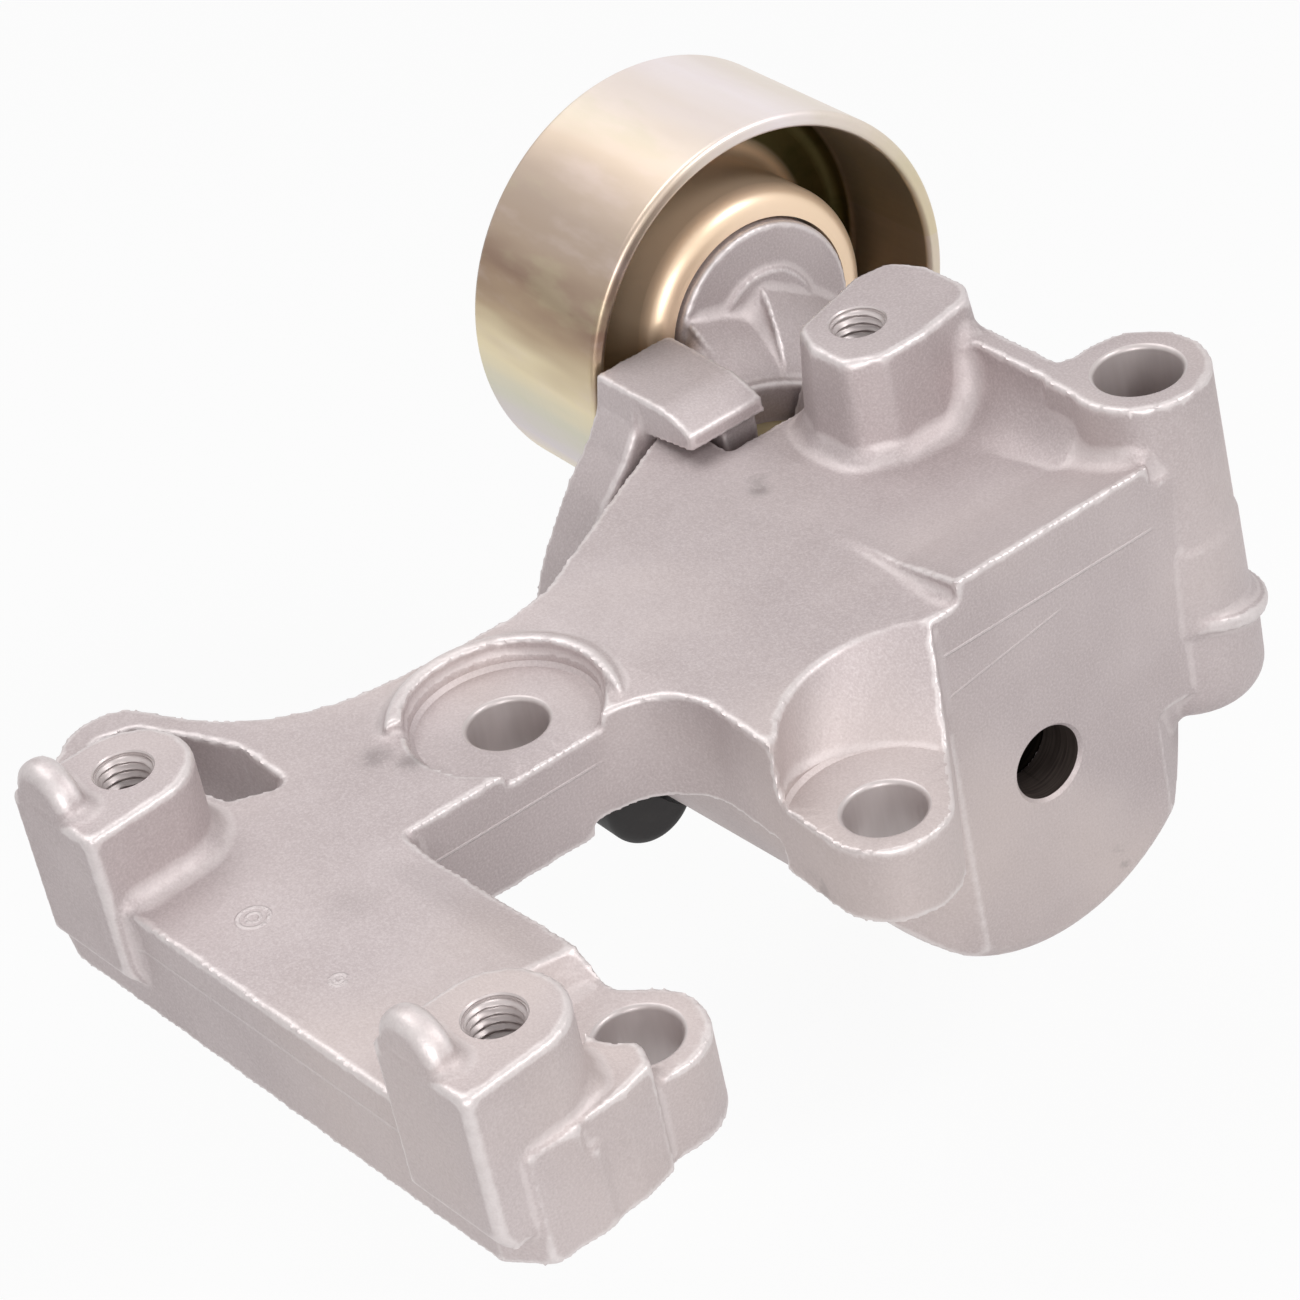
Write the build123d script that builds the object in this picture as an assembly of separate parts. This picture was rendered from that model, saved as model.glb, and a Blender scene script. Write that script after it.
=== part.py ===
from build123d import *
import os
from math import cos, radians, sin, tan

# Belt tensioner: a cast bracket with a spring drum, and a swinging arm with a smooth pulley.
# Millimetres. The origin is the middle of the pivot bore on the flange face.
# +X points out of the flange face along the pivot, +Y away from the mounting leg, +Z out of the plate.

# Spring drum and flange
PIVOT_BORE_R = 5.5
BORE_CHAMFER = 0.5
DRUM_FRONT_R = 30.0
DRUM_DRAFT = 2.4
DRUM_LENGTH = 66.5
DRUM_EDGE_R = 3.0
CAVITY_R = 26.0
END_WALL = 8.0
FLANGE_LEFT_Y = -15.3
FLANGE_RIGHT_Y = 19.5
FLANGE_SIDE_DEPTH = 7.0
FLANGE_SIDE_SLANT = 9.5
FLANGE_BACKING = 2.0
FLANGE_FOOT = -3.5
FLANGE_UNDERCUT = 13.0

# Plate, web and leg
PLATE_TOP = 32.7
DECK = 5.2
WALL = 4.5
RIB = 3.5
WEB_BOTTOM = 16.0
LEG_TOP = 31.2
LEG_BOTTOM = 14.0
LEG_TURN = 2.78
LEG_FRONT = 9.8
LEG_BACK = 23.2
ARCH_BACK_Y = -45.7
ARCH_LEFT_X = -20.0
ARCH_CORNER_R = 12.0
WAIST = (-47.0, -50.0)
NOTCH_GAP = 1.1
NOTCH_Y = -5.7
END_WIDTH = 9.9
SWELL_HEIGHT = 3.4
SWELL_LENGTH = 26.0
SWELL_INSET = 5.0
SWELL_LEAN = 10.0
POCKET_LENGTH = 12.5
POCKET_START = 17.0
POCKET_END = 6.75

# Tapped bosses on the leg, and the tapped boss on the plate
TAP_R = 3.325
TAP_CHAMFER = 0.85
TAP_SPACING = 78.0
TAP_2 = (32.6, -107.5)
TAP_TOP = 43.6
TAP_DEPTH = 19.0
TAP_BOSS_R = 9.1
TAP_BOSS_FRONT = 12.1
TAP_BOSS_FOOT = 19.5
FIN_R = 6.0
FIN_THICKNESS = 4.6
FIN_OFFSET = -2.2
FIN_INSET = 0.35
FIN_ROOT = 1.5
TAP_3_SETBACK = 9.8
TAP_3_Y = 11.8
TAP_3_TOP = 48.3
TAP_3_DEPTH = 14.5
TAP_3_DRAFT = 6.0
TAP_3_CORNER_R = 2.6
TAP_3_FOOT = 4.0

# Bolt holes of the bracket
BOLT_R = 5.5
BOLT_EDGE_R = 0.9
HOLE_1 = (-31.2, -63.2)
HOLE_1_SEAT = 29.4
HOLE_1_BOSS_R = 8.9
HOLE_1_RECESS_R = 13.5
HOLE_1_RIM = 2.6
HOLE_2 = (15.4, -37.8)
HOLE_2_SEAT = 23.1
HOLE_2_BOTTOM = 11.3
HOLE_2_BOSS_R = 8.9
HOLE_2_CUTTER_R = 13.7
HOLE_2_SCOOP_R = 19.9
HOLE_2_SCOOP = (15.0, -27.7)
SCOOP_STEP = 0.4
SCOOP_OVERRUN = 1.5
HOLE_4 = (-9.5, 31.8)
HOLE_4_R = 6.1
HOLE_4_TOP = 43.6
HOLE_4_BOSS_R = 10.0
HOLE_4_DRAFT = 1.6
HOLE_4_STEP = 0.35
HOLE_4_STEP_TOP = 19.5
HOLE_4_BASE_R = 10.9
HOLE_4_BASE_SHIFT = (0.7, 1.0)
HOLE_4_BASE_TOP = 6.0
HOLE_4_BOTTOM = -9.5
LEDGE_R = 11.2
LEDGE_SHIFT = (1.5, 2.0)
LEDGE_THICKNESS = 2.0
LEDGE_TILT = -14.0
HOLE_5 = (30.3, -88.4)
HOLE_5_SEAT = 26.6
HOLE_5_BOSS_R = 9.0
HOLE_5_SEAT_BACK = 12.0
HOLE_5_SEAT_LEAN = 0.8
HOLE_5_FALL = 0.7

# Ridge between the plate's tapped boss and the tall boss
RIDGE_FRONT_Y = 22.7
RIDGE_THICKNESS = 3.8
RIDGE_SWEEP_R = 9.0

# Pivot: fixed tube, bushes and washers on it
SHAFT_R = 8.0
SHAFT_BORE_R = 5.8
SHAFT_SEAT = 4.0
SHAFT_BOSS_R = 11.5
SHAFT_HEAD_R = 12.5
SHAFT_HEAD = 2.6
RUNNING_FIT = 0.05
BUSH_WALL = 2.4
BUSH_LENGTH = 16.0
WASHER = 1.5
WASHER_GAP = 0.1

# Arm
HUB_R = 31.6
HUB_GAP = 1.0
HUB_THICKNESS = 9.4
SLEEVE_WALL = 3.0
SKIRT_WALL = 3.0
SKIRT_LENGTH = 9.5
ARM_TRAVEL = 25.0
STOP_CLEARANCE = 0.6
FINGER_LEFT = -12.0
FINGER_RIGHT = 1.0
FINGER_WEB = 6.0
FINGER_REACH = 11.1
FINGER_CLEARANCE = 0.3
FINGER_THICKNESS = 6.3
FINGER_TIP_DROP = 2.2
FINGER_TIP_LIFT = 1.8
FINGER_BEND = 9.0
NECK_R = 42.5
NECK_FROM = 34.0
NECK_TO = 63.0
SHOULDER_R = 38.2
SHOULDER_TO = 81.0
NECK_GAP = 0.8
NECK_PROUD = 0.6

# Damping ring, dust seal and torsion spring
DAMPER_GAP = 0.25
DAMPER_WALL = 2.15
SEAL_STEP = 1.0
SEAL_WALL = 3.4
SPRING_SEAT_WALL = 2.0
SPRING_SEAT_LIP = 4.0
SPRING_SIDE_ROOM = 3.5
SPRING_WIRE_RADIAL = 5.0
SPRING_WIRE_AXIAL = 4.0
SPRING_TURNS = 7.0
SPRING_SEAT_GAP = 0.2
SPRING_END_GAP = 0.4

# Rubber buffer on the arm's lug
LUG_ANGLE = 219.5
LUG_PROUD = 6.4
LUG_WIDTH = 7.0
BUFFER_R = 7.6
BUFFER_PROUD = 2.4
BUFFER_LENGTH = 14.5
BUFFER_CLEARANCE = 0.6

# Pulley and its bearing
PULLEY_AXIS = (19.5, 31.1)
PULLEY_R = 32.5
PULLEY_WIDTH = 30.0
PULLEY_GAP = 1.1
PULLEY_WALL = 2.5
PULLEY_WEB_SETBACK = 20.5
PULLEY_LIP_SETBACK = 2.6
PULLEY_LIP_BORE_R = 15.9
PULLEY_LIP_EDGE_R = 3.4
PULLEY_ROLL_R = 0.95
PULLEY_BEND_R = 3.0
BOSS_FACE_SETBACK = 1.3
BOSS_GAP = 0.5
BOSS_THICKNESS = 4.0
BOSS_PAD_R = 8.5
BOSS_PAD = 0.7
BEARING_R = 17.5
BEARING_BORE_R = 7.5
BEARING_WIDTH = 11.0
BEARING_SETBACK = 8.0
BALL_R = 2.98
BALL_COUNT = 8
BALL_PITCH_R = 12.6
RACE_GAP = 0.06
RACE_LAND = 1.8
CAGE_WALL = 1.2
CAGE_LENGTH = 8.0
CAGE_GAP = 0.15
SHIELD_THICKNESS = 0.9
SPIGOT_FIT = 0.02
SNAP_RING = 1.2
SNAP_GROOVE = 0.7
DUST_SHIELD_R = 19.0
DUST_SHIELD_WALL = 1.0
SHIELD_GAP = 0.5
BOLT_SHANK_R = 4.9
BOLT_TAP_GAP = 0.05
BOLT_FLANGE_R = 9.0
BOLT_FLANGE = 1.8
BOLT_HEAD_FLATS = 14.0
BOLT_HEAD = 6.0

# Places that follow from the sizes above
DRUM_END_X = -DRUM_LENGTH
DRUM_BACK_R = DRUM_FRONT_R + DRUM_LENGTH * tan(radians(DRUM_DRAFT))
HUB_FRONT_X = DRUM_END_X - HUB_GAP
HUB_BACK_X = HUB_FRONT_X - HUB_THICKNESS
SKIRT_R = CAVITY_R - DAMPER_GAP - DAMPER_WALL
FINGER_END_X = DRUM_END_X + FINGER_REACH
FINGER_UNDER = DRUM_BACK_R + FINGER_CLEARANCE
FINGER_TOP = FINGER_UNDER + FINGER_THICKNESS
NOTCH_X = FINGER_END_X + NOTCH_GAP
TAP_3 = (NOTCH_X + TAP_3_SETBACK, TAP_3_Y)
SPRING_R = CAVITY_R - SPRING_SIDE_ROOM - SPRING_WIRE_RADIAL / 2
LUG_R = HUB_R + LUG_PROUD
BUFFER_CENTRE_R = HUB_R + BUFFER_PROUD
PULLEY_FRONT_X = HUB_BACK_X - PULLEY_GAP
SHAFT_HEAD_X = HUB_BACK_X + SHAFT_HEAD + 0.4
SHAFT_SEAT_X = -END_WALL - SHAFT_SEAT
BUSH_R = SHAFT_R + RUNNING_FIT + BUSH_WALL
SLEEVE_R = BUSH_R + SLEEVE_WALL
SLEEVE_FRONT_X = SHAFT_SEAT_X - WASHER - 2 * WASHER_GAP
REAR_POCKET_X = SHAFT_HEAD_X + WASHER + 2 * WASHER_GAP
SKIRT_END_X = HUB_FRONT_X + SKIRT_LENGTH
WINDOW_END_X = FINGER_END_X + STOP_CLEARANCE + 0.5
RACE_X = PULLEY_FRONT_X - BEARING_SETBACK
RACE_BACK_X = RACE_X - BEARING_WIDTH
BALL_X = RACE_X - BEARING_WIDTH / 2
RACE_INNER_R = BALL_PITCH_R - RACE_LAND
RACE_OUTER_R = BALL_PITCH_R + RACE_LAND
BOSS_R = PULLEY_LIP_BORE_R - BOSS_GAP
BOSS_FACE_X = PULLEY_FRONT_X - BOSS_FACE_SETBACK
BOSS_BACK_X = BOSS_FACE_X - BOSS_THICKNESS
NECK_BACK_X = PULLEY_FRONT_X - PULLEY_LIP_SETBACK + NECK_GAP
SHIELD_BACK = PULLEY_WEB_SETBACK + PULLEY_WALL - BEARING_SETBACK - BEARING_WIDTH + SHIELD_GAP
LEG_DIRECTION = (cos(radians(LEG_TURN)), sin(radians(LEG_TURN)))


def leg_point(u, v):
    """Plan point at u along the leg and v across it, from the second tapped hole."""
    return (TAP_2[0] + u * LEG_DIRECTION[0] - v * LEG_DIRECTION[1],
            TAP_2[1] + u * LEG_DIRECTION[1] + v * LEG_DIRECTION[0])


TAP_1 = leg_point(-TAP_SPACING, 0)


def polygon(points):
    """Closed flat face through plan points."""
    return make_face(Polyline([(p[0], p[1], 0) for p in points], close=True))


def slab(face, bottom, top):
    """Flat face stood up between two heights."""
    return Pos(0, 0, bottom) * extrude(face, amount=top - bottom)


def upright(radius, bottom, top, place):
    """Round column along Z."""
    return Pos(place[0], place[1], (bottom + top) / 2) * Cylinder(radius, top - bottom)


def along_x(radius, x_a, x_b, centre=(0, 0)):
    """Round bar along X about a centre in Y and Z."""
    length = abs(x_b - x_a)
    return Pos((x_a + x_b) / 2, centre[0], centre[1]) * Rot(0, 90, 0) * Cylinder(radius, length)


def tube_x(outer, inner, x_a, x_b, centre=(0, 0)):
    """Tube along X about a centre in Y and Z."""
    return along_x(outer, x_a, x_b, centre) - along_x(inner, x_a, x_b, centre)


def turned(profile, centre=(0, 0)):
    """Solid turned about a line along X from points of place along X and radius."""
    return Pos(0, centre[0], centre[1]) * revolve(polygon(profile), axis=Axis.X)


def sector(r_a, r_b, x_a, x_b, angle_a, angle_b):
    """Part of a ring about the pivot, between two angles counted from +Y towards +Z."""
    start = polygon([(x_a, r_a), (x_b, r_a), (x_b, r_b), (x_a, r_b)])
    return Rot(angle_a, 0, 0) * revolve(start, axis=Axis.X, revolution_arc=angle_b - angle_a)


def block_x(points, x_a, x_b):
    """Outline in Y and Z carried from one X to another."""
    face = make_face(Polyline([(0, p[0], p[1]) for p in points], close=True))
    return Pos(min(x_a, x_b), 0, 0) * extrude(face, amount=abs(x_b - x_a), dir=(1, 0, 0))


def bolt_hole(radius, place, seat, bottom, edge):
    """Through-hole along Z with a rounded mouth at its seat."""
    hole = upright(radius, bottom - 1, seat + 1, place)
    mouth = Pos(place[0], place[1], seat - edge / 2) * Cone(radius, radius + edge, edge)
    return hole + mouth


def tapped_hole(place, top, depth):
    """Blind tapped hole at its core radius, with a chamfer and a drill point."""
    hole = upright(TAP_R, top - depth, top + 1, place)
    mouth = Pos(place[0], place[1], top - TAP_CHAMFER / 2) * Cone(TAP_R, TAP_R + TAP_CHAMFER, TAP_CHAMFER)
    point = Pos(place[0], place[1], top - depth - TAP_R / 4) * Cone(0.2, TAP_R, TAP_R / 2)
    return hole + mouth + point


def near(place, offsets):
    """Plan points given by their offsets from a place."""
    return [(place[0] + x, place[1] + y) for x, y in offsets]


def deck_face():
    """Plan outline of the plate, the web, the leg and the end boss."""
    flank_angle = radians(53)
    flank = (HOLE_2[0] + HOLE_2_BOSS_R * cos(flank_angle), HOLE_2[1] + HOLE_2_BOSS_R * sin(flank_angle))
    front = (HOLE_2[0] + HOLE_2_BOSS_R, HOLE_2[1])
    foot = (HOLE_2[0], HOLE_2[1] - HOLE_2_BOSS_R)
    arch_start = (ARCH_LEFT_X + ARCH_CORNER_R, ARCH_BACK_Y)
    arch_mid = (ARCH_LEFT_X + ARCH_CORNER_R * (1 - cos(radians(45))),
                ARCH_BACK_Y - ARCH_CORNER_R * (1 - sin(radians(45))))
    arch_end = (ARCH_LEFT_X, ARCH_BACK_Y - ARCH_CORNER_R)
    inner = leg_point(-TAP_SPACING + 29.5, LEG_BACK - 0.7)
    lip = leg_point(-10.5, LEG_BACK)
    boss_left = (HOLE_5[0] - HOLE_5_BOSS_R * 0.75, HOLE_5[1] + HOLE_5_BOSS_R * 0.66)
    boss_top = (HOLE_5[0], HOLE_5[1] + HOLE_5_BOSS_R)
    boss_right = (HOLE_5[0] + HOLE_5_BOSS_R, HOLE_5[1])
    shoulder = (HOLE_5[0] + HOLE_5_BOSS_R, HOLE_5[1] - 7)
    corner_a = leg_point(END_WIDTH + 0.6, 3)
    corner_b = leg_point(END_WIDTH, -6)
    corner_c = leg_point(4.5, -LEG_FRONT)
    end_front = leg_point(-TAP_SPACING - 9, -LEG_FRONT)
    end_mid = leg_point(-TAP_SPACING - 21, -6)
    rim_end = leg_point(-TAP_SPACING - 27.4, 4.6)
    rim = near(TAP_1, [(-30.4, 8.3), (-29.2, 13.7), (-23.2, 17.4), (-13.6, 23.5)])
    rim += near(HOLE_1, [(-21.3, -15.7), (-18.3, -2.8)])
    plate_left = [(WAIST[0] - 0.8, WAIST[1] + 6.0), (DRUM_END_X + 8.2, -25.0), (DRUM_END_X - 0.8, -8.3),
                  (DRUM_END_X + 0.5, NOTCH_Y), (NOTCH_X, NOTCH_Y)]
    back = RIDGE_FRONT_Y + RIDGE_THICKNESS
    far_side = [(NOTCH_X, back), (HOLE_4[0], back), (HOLE_4[0], HOLE_4[1]), (0, HOLE_4[1])]
    return make_face([
        Line((0, FLANGE_LEFT_Y), flank),
        ThreePointArc(flank, front, foot),
        Line(foot, arch_start),
        ThreePointArc(arch_start, arch_mid, arch_end),
        Polyline(arch_end, (ARCH_LEFT_X, inner[1]), inner, lip, boss_left),
        ThreePointArc(boss_left, boss_top, boss_right),
        Polyline(boss_right, shoulder, corner_a, corner_b, corner_c, end_front, end_mid, rim_end),
        Spline([rim_end] + rim + [WAIST]),
        Polyline([WAIST] + plate_left + far_side + [(0, FLANGE_LEFT_Y)]),
    ])


def deck():
    """Plate, web and leg in their outer form, with the top falling from the plate to the leg."""
    body = slab(deck_face(), LEG_BOTTOM, PLATE_TOP)
    fall = [(-47.0, PLATE_TOP), (-60.0, LEG_TOP), (-140.0, LEG_TOP), (-140.0, 60.0), (-47.0, 60.0)]
    body -= block_x(fall, -100, 60)
    body -= end_seat_cut()
    web_under = polygon([(30, -60), (30, 60), (-80, 60), (-80, -60)])
    body -= slab(web_under, LEG_BOTTOM - 1, WEB_BOTTOM)
    low = polygon(near(HOLE_2, [(31, -22.2), (31, 47.8), (-9.4, 47.8), (-13.4, -22.2)]))
    return body + slab(deck_face() & low, HOLE_2_BOTTOM, WEB_BOTTOM)


def leg_pockets():
    """Row of cored pockets that lighten the leg from below, with ribs between them."""
    pockets = Part()
    top = LEG_TOP - DECK
    bottom = LEG_BOTTOM - 1
    width = LEG_BACK + LEG_FRONT - 2 * WALL
    box = Rot(0, 0, LEG_TURN) * Box(POCKET_LENGTH, width, top - bottom)
    room = TAP_SPACING - POCKET_START - POCKET_END + POCKET_LENGTH / 2
    count = int((room + RIB) / (POCKET_LENGTH + RIB))
    for k in range(count):
        middle = -TAP_SPACING + POCKET_START + k * (POCKET_LENGTH + RIB)
        place = leg_point(middle, (LEG_BACK - LEG_FRONT) / 2)
        pockets += Pos(place[0], place[1], (top + bottom) / 2) * box
    return pockets


def plate_pockets():
    """Cored pockets between the drum and the arch, open below."""
    pockets = Part()
    left = WAIST[0] + 3.0
    right = HOLE_2[0] - 21.4
    length = (right - left - 2 * RIB) / 3
    near_y = ARCH_BACK_Y + WALL
    for k in range(3):
        x_a = left + k * (length + RIB)
        face = polygon([(x_a, near_y), (x_a + length, near_y), (x_a + length, -14), (x_a, -14)])
        pockets += slab(face, WEB_BOTTOM - 6, PLATE_TOP - DECK)
    return pockets


def web_pockets():
    """Cored pockets of the web on both sides of its bolt boss."""
    pockets = Part()
    left = HOLE_1[0] - 11.3
    right = ARCH_LEFT_X - WALL
    for start, end in ((-18.8, -11.3), (9.2, 13.0)):
        y_a = HOLE_1[1] + start
        y_b = HOLE_1[1] + end
        face = polygon([(left, y_a), (right, y_a), (right, y_b), (left, y_b)])
        pockets += slab(face, LEG_BOTTOM - 1, LEG_TOP - DECK)
    return pockets


def rim_window():
    """Open pocket behind the first tapped boss, inside the curved rim wall."""
    far = near(TAP_1, [(4.3, 20.0), (-8.2, 20.1), (-16.2, 16.8), (-24.2, 12.8), (-25.7, 7.8), (-21.2, 1.8)])
    close = near(TAP_1, [(-10.5, 0.5), (-6.5, 10.7), (0.4, 12.5)])
    face = fillet(polygon(far + close).vertices(), 1.5)
    return slab(face, LEG_BOTTOM - 1, LEG_TOP + 2)


def tapped_boss(place, foot):
    """Tapped boss of the leg with its flat front, its sloped foot and its half-round fin."""
    right = (TAP_BOSS_R, 0)
    left = (-TAP_BOSS_R + 0.2, 0)
    front_right = (TAP_BOSS_R + 0.4, -TAP_BOSS_FRONT)
    front_left = (-TAP_BOSS_R + 0.2, -TAP_BOSS_FRONT)
    outline = make_face([
        ThreePointArc(right, (0, TAP_BOSS_R), left),
        Polyline(left, front_left, front_right, right),
    ])
    column = slab(outline, foot, TAP_TOP)
    column = fillet(column.edges().filter_by(Axis.Z), 1.3)
    column = fillet(column.edges().group_by(Axis.Z)[-1], 0.7)
    front = -TAP_BOSS_FRONT
    foot_cut = [(front - 1, foot - 1), (front + 2.6, foot - 1), (front - 1, foot + 3.2)]
    column -= block_x(foot_cut, -20, 20)
    return Pos(place[0], place[1], 0) * Rot(0, 0, LEG_TURN) * (column + fin())


def fin():
    """Half-round fin on a tapped boss, sunk a little into its top."""
    middle_y = -TAP_BOSS_FRONT + FIN_INSET + FIN_THICKNESS / 2
    disc = Pos(FIN_OFFSET, middle_y, TAP_TOP) * Rot(90, 0, 0) * Cylinder(FIN_R, FIN_THICKNESS)
    disc = fillet(disc.edges(), FIN_THICKNESS * 0.42)
    return disc - Pos(0, 0, TAP_TOP - FIN_ROOT - FIN_R) * Box(4 * FIN_R, 8 * FIN_R, 2 * FIN_R)


def end_boss():
    """End boss, its seat falling away at the front, and the lump beside it at leg level."""
    lump = [leg_point(2, 8), leg_point(END_WIDTH, 2), leg_point(END_WIDTH - 0.2, 9), leg_point(8.6, 14),
            leg_point(5, 15.6), leg_point(1.5, 15.4), leg_point(-2.5, 13)]
    boss = upright(HOLE_5_BOSS_R, LEG_BOTTOM, HOLE_5_SEAT, HOLE_5)
    start = HOLE_5[1] + 2.5
    end = start - 12.0
    low = HOLE_5_SEAT - HOLE_5_FALL * (start - end)
    fall = [(start, HOLE_5_SEAT), (end, low), (end, LEG_TOP), (start, LEG_TOP)]
    boss -= block_x(fall, HOLE_5[0] + BOLT_R + BOLT_EDGE_R, HOLE_5[0] + 2 * HOLE_5_BOSS_R)
    mouth = upright(BOLT_R + BOLT_EDGE_R, HOLE_5_SEAT, LEG_TOP + 1, HOLE_5)
    return boss + (slab(polygon(lump), LEG_BOTTOM, LEG_TOP) - mouth)


def end_seat_cut():
    """Space above the end hole's seat, with a leaning side towards the leg."""
    foot_x = HOLE_5[0] - HOLE_5_SEAT_BACK
    height = LEG_TOP - HOLE_5_SEAT + 1
    section = [(foot_x, HOLE_5_SEAT), (HOLE_5[0] + 2 * HOLE_5_BOSS_R, HOLE_5_SEAT),
               (HOLE_5[0] + 2 * HOLE_5_BOSS_R, HOLE_5_SEAT + height),
               (foot_x - HOLE_5_SEAT_LEAN * height, HOLE_5_SEAT + height)]
    face = make_face(Polyline([(p[0], 0, p[1]) for p in section], close=True))
    return Pos(0, TAP_2[1] + 2, 0) * extrude(face, amount=40, dir=(0, 1, 0))


def hole_1_rim():
    """Raised rounded rim behind the spot-faced seat of the web's hole."""
    ring = upright(HOLE_1_RECESS_R + HOLE_1_RIM, LEG_BOTTOM + 6, PLATE_TOP + 0.5, HOLE_1)
    keep = near(HOLE_1, [(-28.8, -11.8), (-8.8, -14.8), (3.2, 13.2), (13.2, 11.2), (16.2, 23.2),
                         (-28.8, 23.2)])
    ring = fillet(ring.edges().group_by(Axis.Z)[-1], 1.3)
    return ring & slab(polygon(keep), LEG_BOTTOM, PLATE_TOP + 5)


def drum_outside():
    """Drafted drum with its rounded front edge and the slanted sides of the flange face."""
    edge = DRUM_FRONT_R - DRUM_EDGE_R
    half = sin(radians(45))
    bend = (-DRUM_EDGE_R * (1 - half), edge + DRUM_EDGE_R * half)
    corner = (-DRUM_EDGE_R, DRUM_FRONT_R)
    back_r = DRUM_FRONT_R + (DRUM_LENGTH - DRUM_EDGE_R) * tan(radians(DRUM_DRAFT))
    profile = make_face([
        Polyline((0, 0), (0, edge)),
        ThreePointArc((0, edge), bend, corner),
        Polyline(corner, (DRUM_END_X, back_r), (DRUM_END_X, 0), (0, 0)),
    ])
    drum = revolve(profile, axis=Axis.X)
    depth = -FLANGE_SIDE_DEPTH
    left_y = FLANGE_LEFT_Y - FLANGE_SIDE_SLANT
    right_y = FLANGE_RIGHT_Y + FLANGE_SIDE_SLANT
    left = [(1, FLANGE_LEFT_Y), (0, FLANGE_LEFT_Y), (depth, left_y), (depth, -50), (1, -50)]
    right = [(1, FLANGE_RIGHT_Y), (0, FLANGE_RIGHT_Y), (depth, right_y), (depth, 50), (1, 50)]
    for side in (left, right):
        drum -= slab(polygon(side), -50, 50)
    return drum


def flange():
    """Flat end of the drum carried up to the plate, with its swelling top edge."""
    depth = END_WALL + FLANGE_BACKING
    face = [(FLANGE_LEFT_Y, 0), (FLANGE_RIGHT_Y, FLANGE_FOOT), (HOLE_4[1], FLANGE_FOOT),
            (HOLE_4[1], PLATE_TOP), (FLANGE_LEFT_Y, PLATE_TOP)]
    wall = block_x(face, -depth, 0)
    side = [(0, FLANGE_LEFT_Y), (-depth, FLANGE_LEFT_Y - FLANGE_UNDERCUT), (-depth - 1, -50), (1, -50),
            (1, FLANGE_LEFT_Y)]
    wall -= slab(polygon(side), -60, HOLE_2_BOTTOM)
    swell = [(-SWELL_LENGTH, PLATE_TOP - 1), (-SWELL_LENGTH, PLATE_TOP),
             (-SWELL_LENGTH / 2, PLATE_TOP + SWELL_HEIGHT / 4), (0, PLATE_TOP + SWELL_HEIGHT),
             (0, PLATE_TOP - 1)]
    section = make_face(Polyline([(p[0], 0, p[1]) for p in swell], close=True))
    start = FLANGE_LEFT_Y + SWELL_INSET
    end = HOLE_4[1] - HOLE_4_BOSS_R + 2
    top = Pos(0, start, 0) * extrude(section, amount=end - start, dir=(0, 1, 0))
    lean = [(FLANGE_LEFT_Y - 1, PLATE_TOP), (FLANGE_LEFT_Y - 1 + SWELL_LEAN, PLATE_TOP + 6),
            (FLANGE_LEFT_Y - 1, PLATE_TOP + 6)]
    return wall + (top - block_x(lean, -40, 1))


def tall_boss():
    """Tall drafted boss with its ear, its wider base and the ledge round the base."""
    slope = tan(radians(HOLE_4_DRAFT))
    step_r = HOLE_4_BOSS_R + (HOLE_4_TOP - HOLE_4_STEP_TOP) * slope
    low_r = step_r + HOLE_4_STEP + (HOLE_4_STEP_TOP - HOLE_4_BASE_TOP) * slope
    body = column(HOLE_4_BOSS_R, HOLE_4_TOP, step_r, HOLE_4_STEP_TOP)
    body += column(step_r + HOLE_4_STEP, HOLE_4_STEP_TOP, low_r, HOLE_4_BASE_TOP)
    ear = near(HOLE_4, [(-2, -9.6), (-9, -9.5), (-10.5, -5.4), (-8, 6), (0, 0)])
    body += slab(polygon(ear), WEB_BOTTOM, HOLE_4_TOP)
    base = upright(HOLE_4_BASE_R, HOLE_4_BOTTOM, HOLE_4_BASE_TOP, near(HOLE_4, [HOLE_4_BASE_SHIFT])[0])
    body += fillet(base.edges().group_by(Axis.Z)[0], 4.5)
    ledge = Rot(LEDGE_TILT, 0, 0) * Cylinder(LEDGE_R, LEDGE_THICKNESS)
    body += Pos(HOLE_4[0] + LEDGE_SHIFT[0], HOLE_4[1] + LEDGE_SHIFT[1], HOLE_4_BASE_TOP) * ledge
    foot = polygon([(0, 12), (0, HOLE_4[1]), (-20, HOLE_4[1]), (-20, 12)])
    return body + slab(foot, FLANGE_FOOT, PLATE_TOP)


def column(top_r, top, low_r, bottom):
    """Drafted round length of the tall boss."""
    return Pos(HOLE_4[0], HOLE_4[1], (top + bottom) / 2) * Cone(low_r, top_r, top - bottom)


def plate_boss():
    """Drafted tapped boss on the plate, with a swept base, cut straight where the arm's finger passes."""
    outline = near(TAP_3, [(-5.7, -6.2), (-0.2, -8.4), (6.9, -8.2), (9.9, -3.3), (9.9, 3.7), (7.9, 13.6),
                           (4.5, 15.8), (-4.0, 15.6), (-8.9, 13.1), (-TAP_3_SETBACK, 7.7)])
    top = fillet(polygon(outline).vertices(), TAP_3_CORNER_R)
    height = TAP_3_TOP - PLATE_TOP + DECK
    boss = Pos(0, 0, TAP_3_TOP) * extrude(top, amount=-height, taper=-TAP_3_DRAFT)
    boss = fillet(boss.edges().group_by(Axis.Z)[-1], 0.6)
    foot = Pos(0, 0, PLATE_TOP + TAP_3_FOOT) * extrude(top, amount=-TAP_3_FOOT - 0.5, taper=-40)
    body = boss + foot
    body -= slab(polygon([(NOTCH_X, -30), (NOTCH_X, 60), (-90, 60), (-90, -30)]), 0, 60)
    return body


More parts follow.
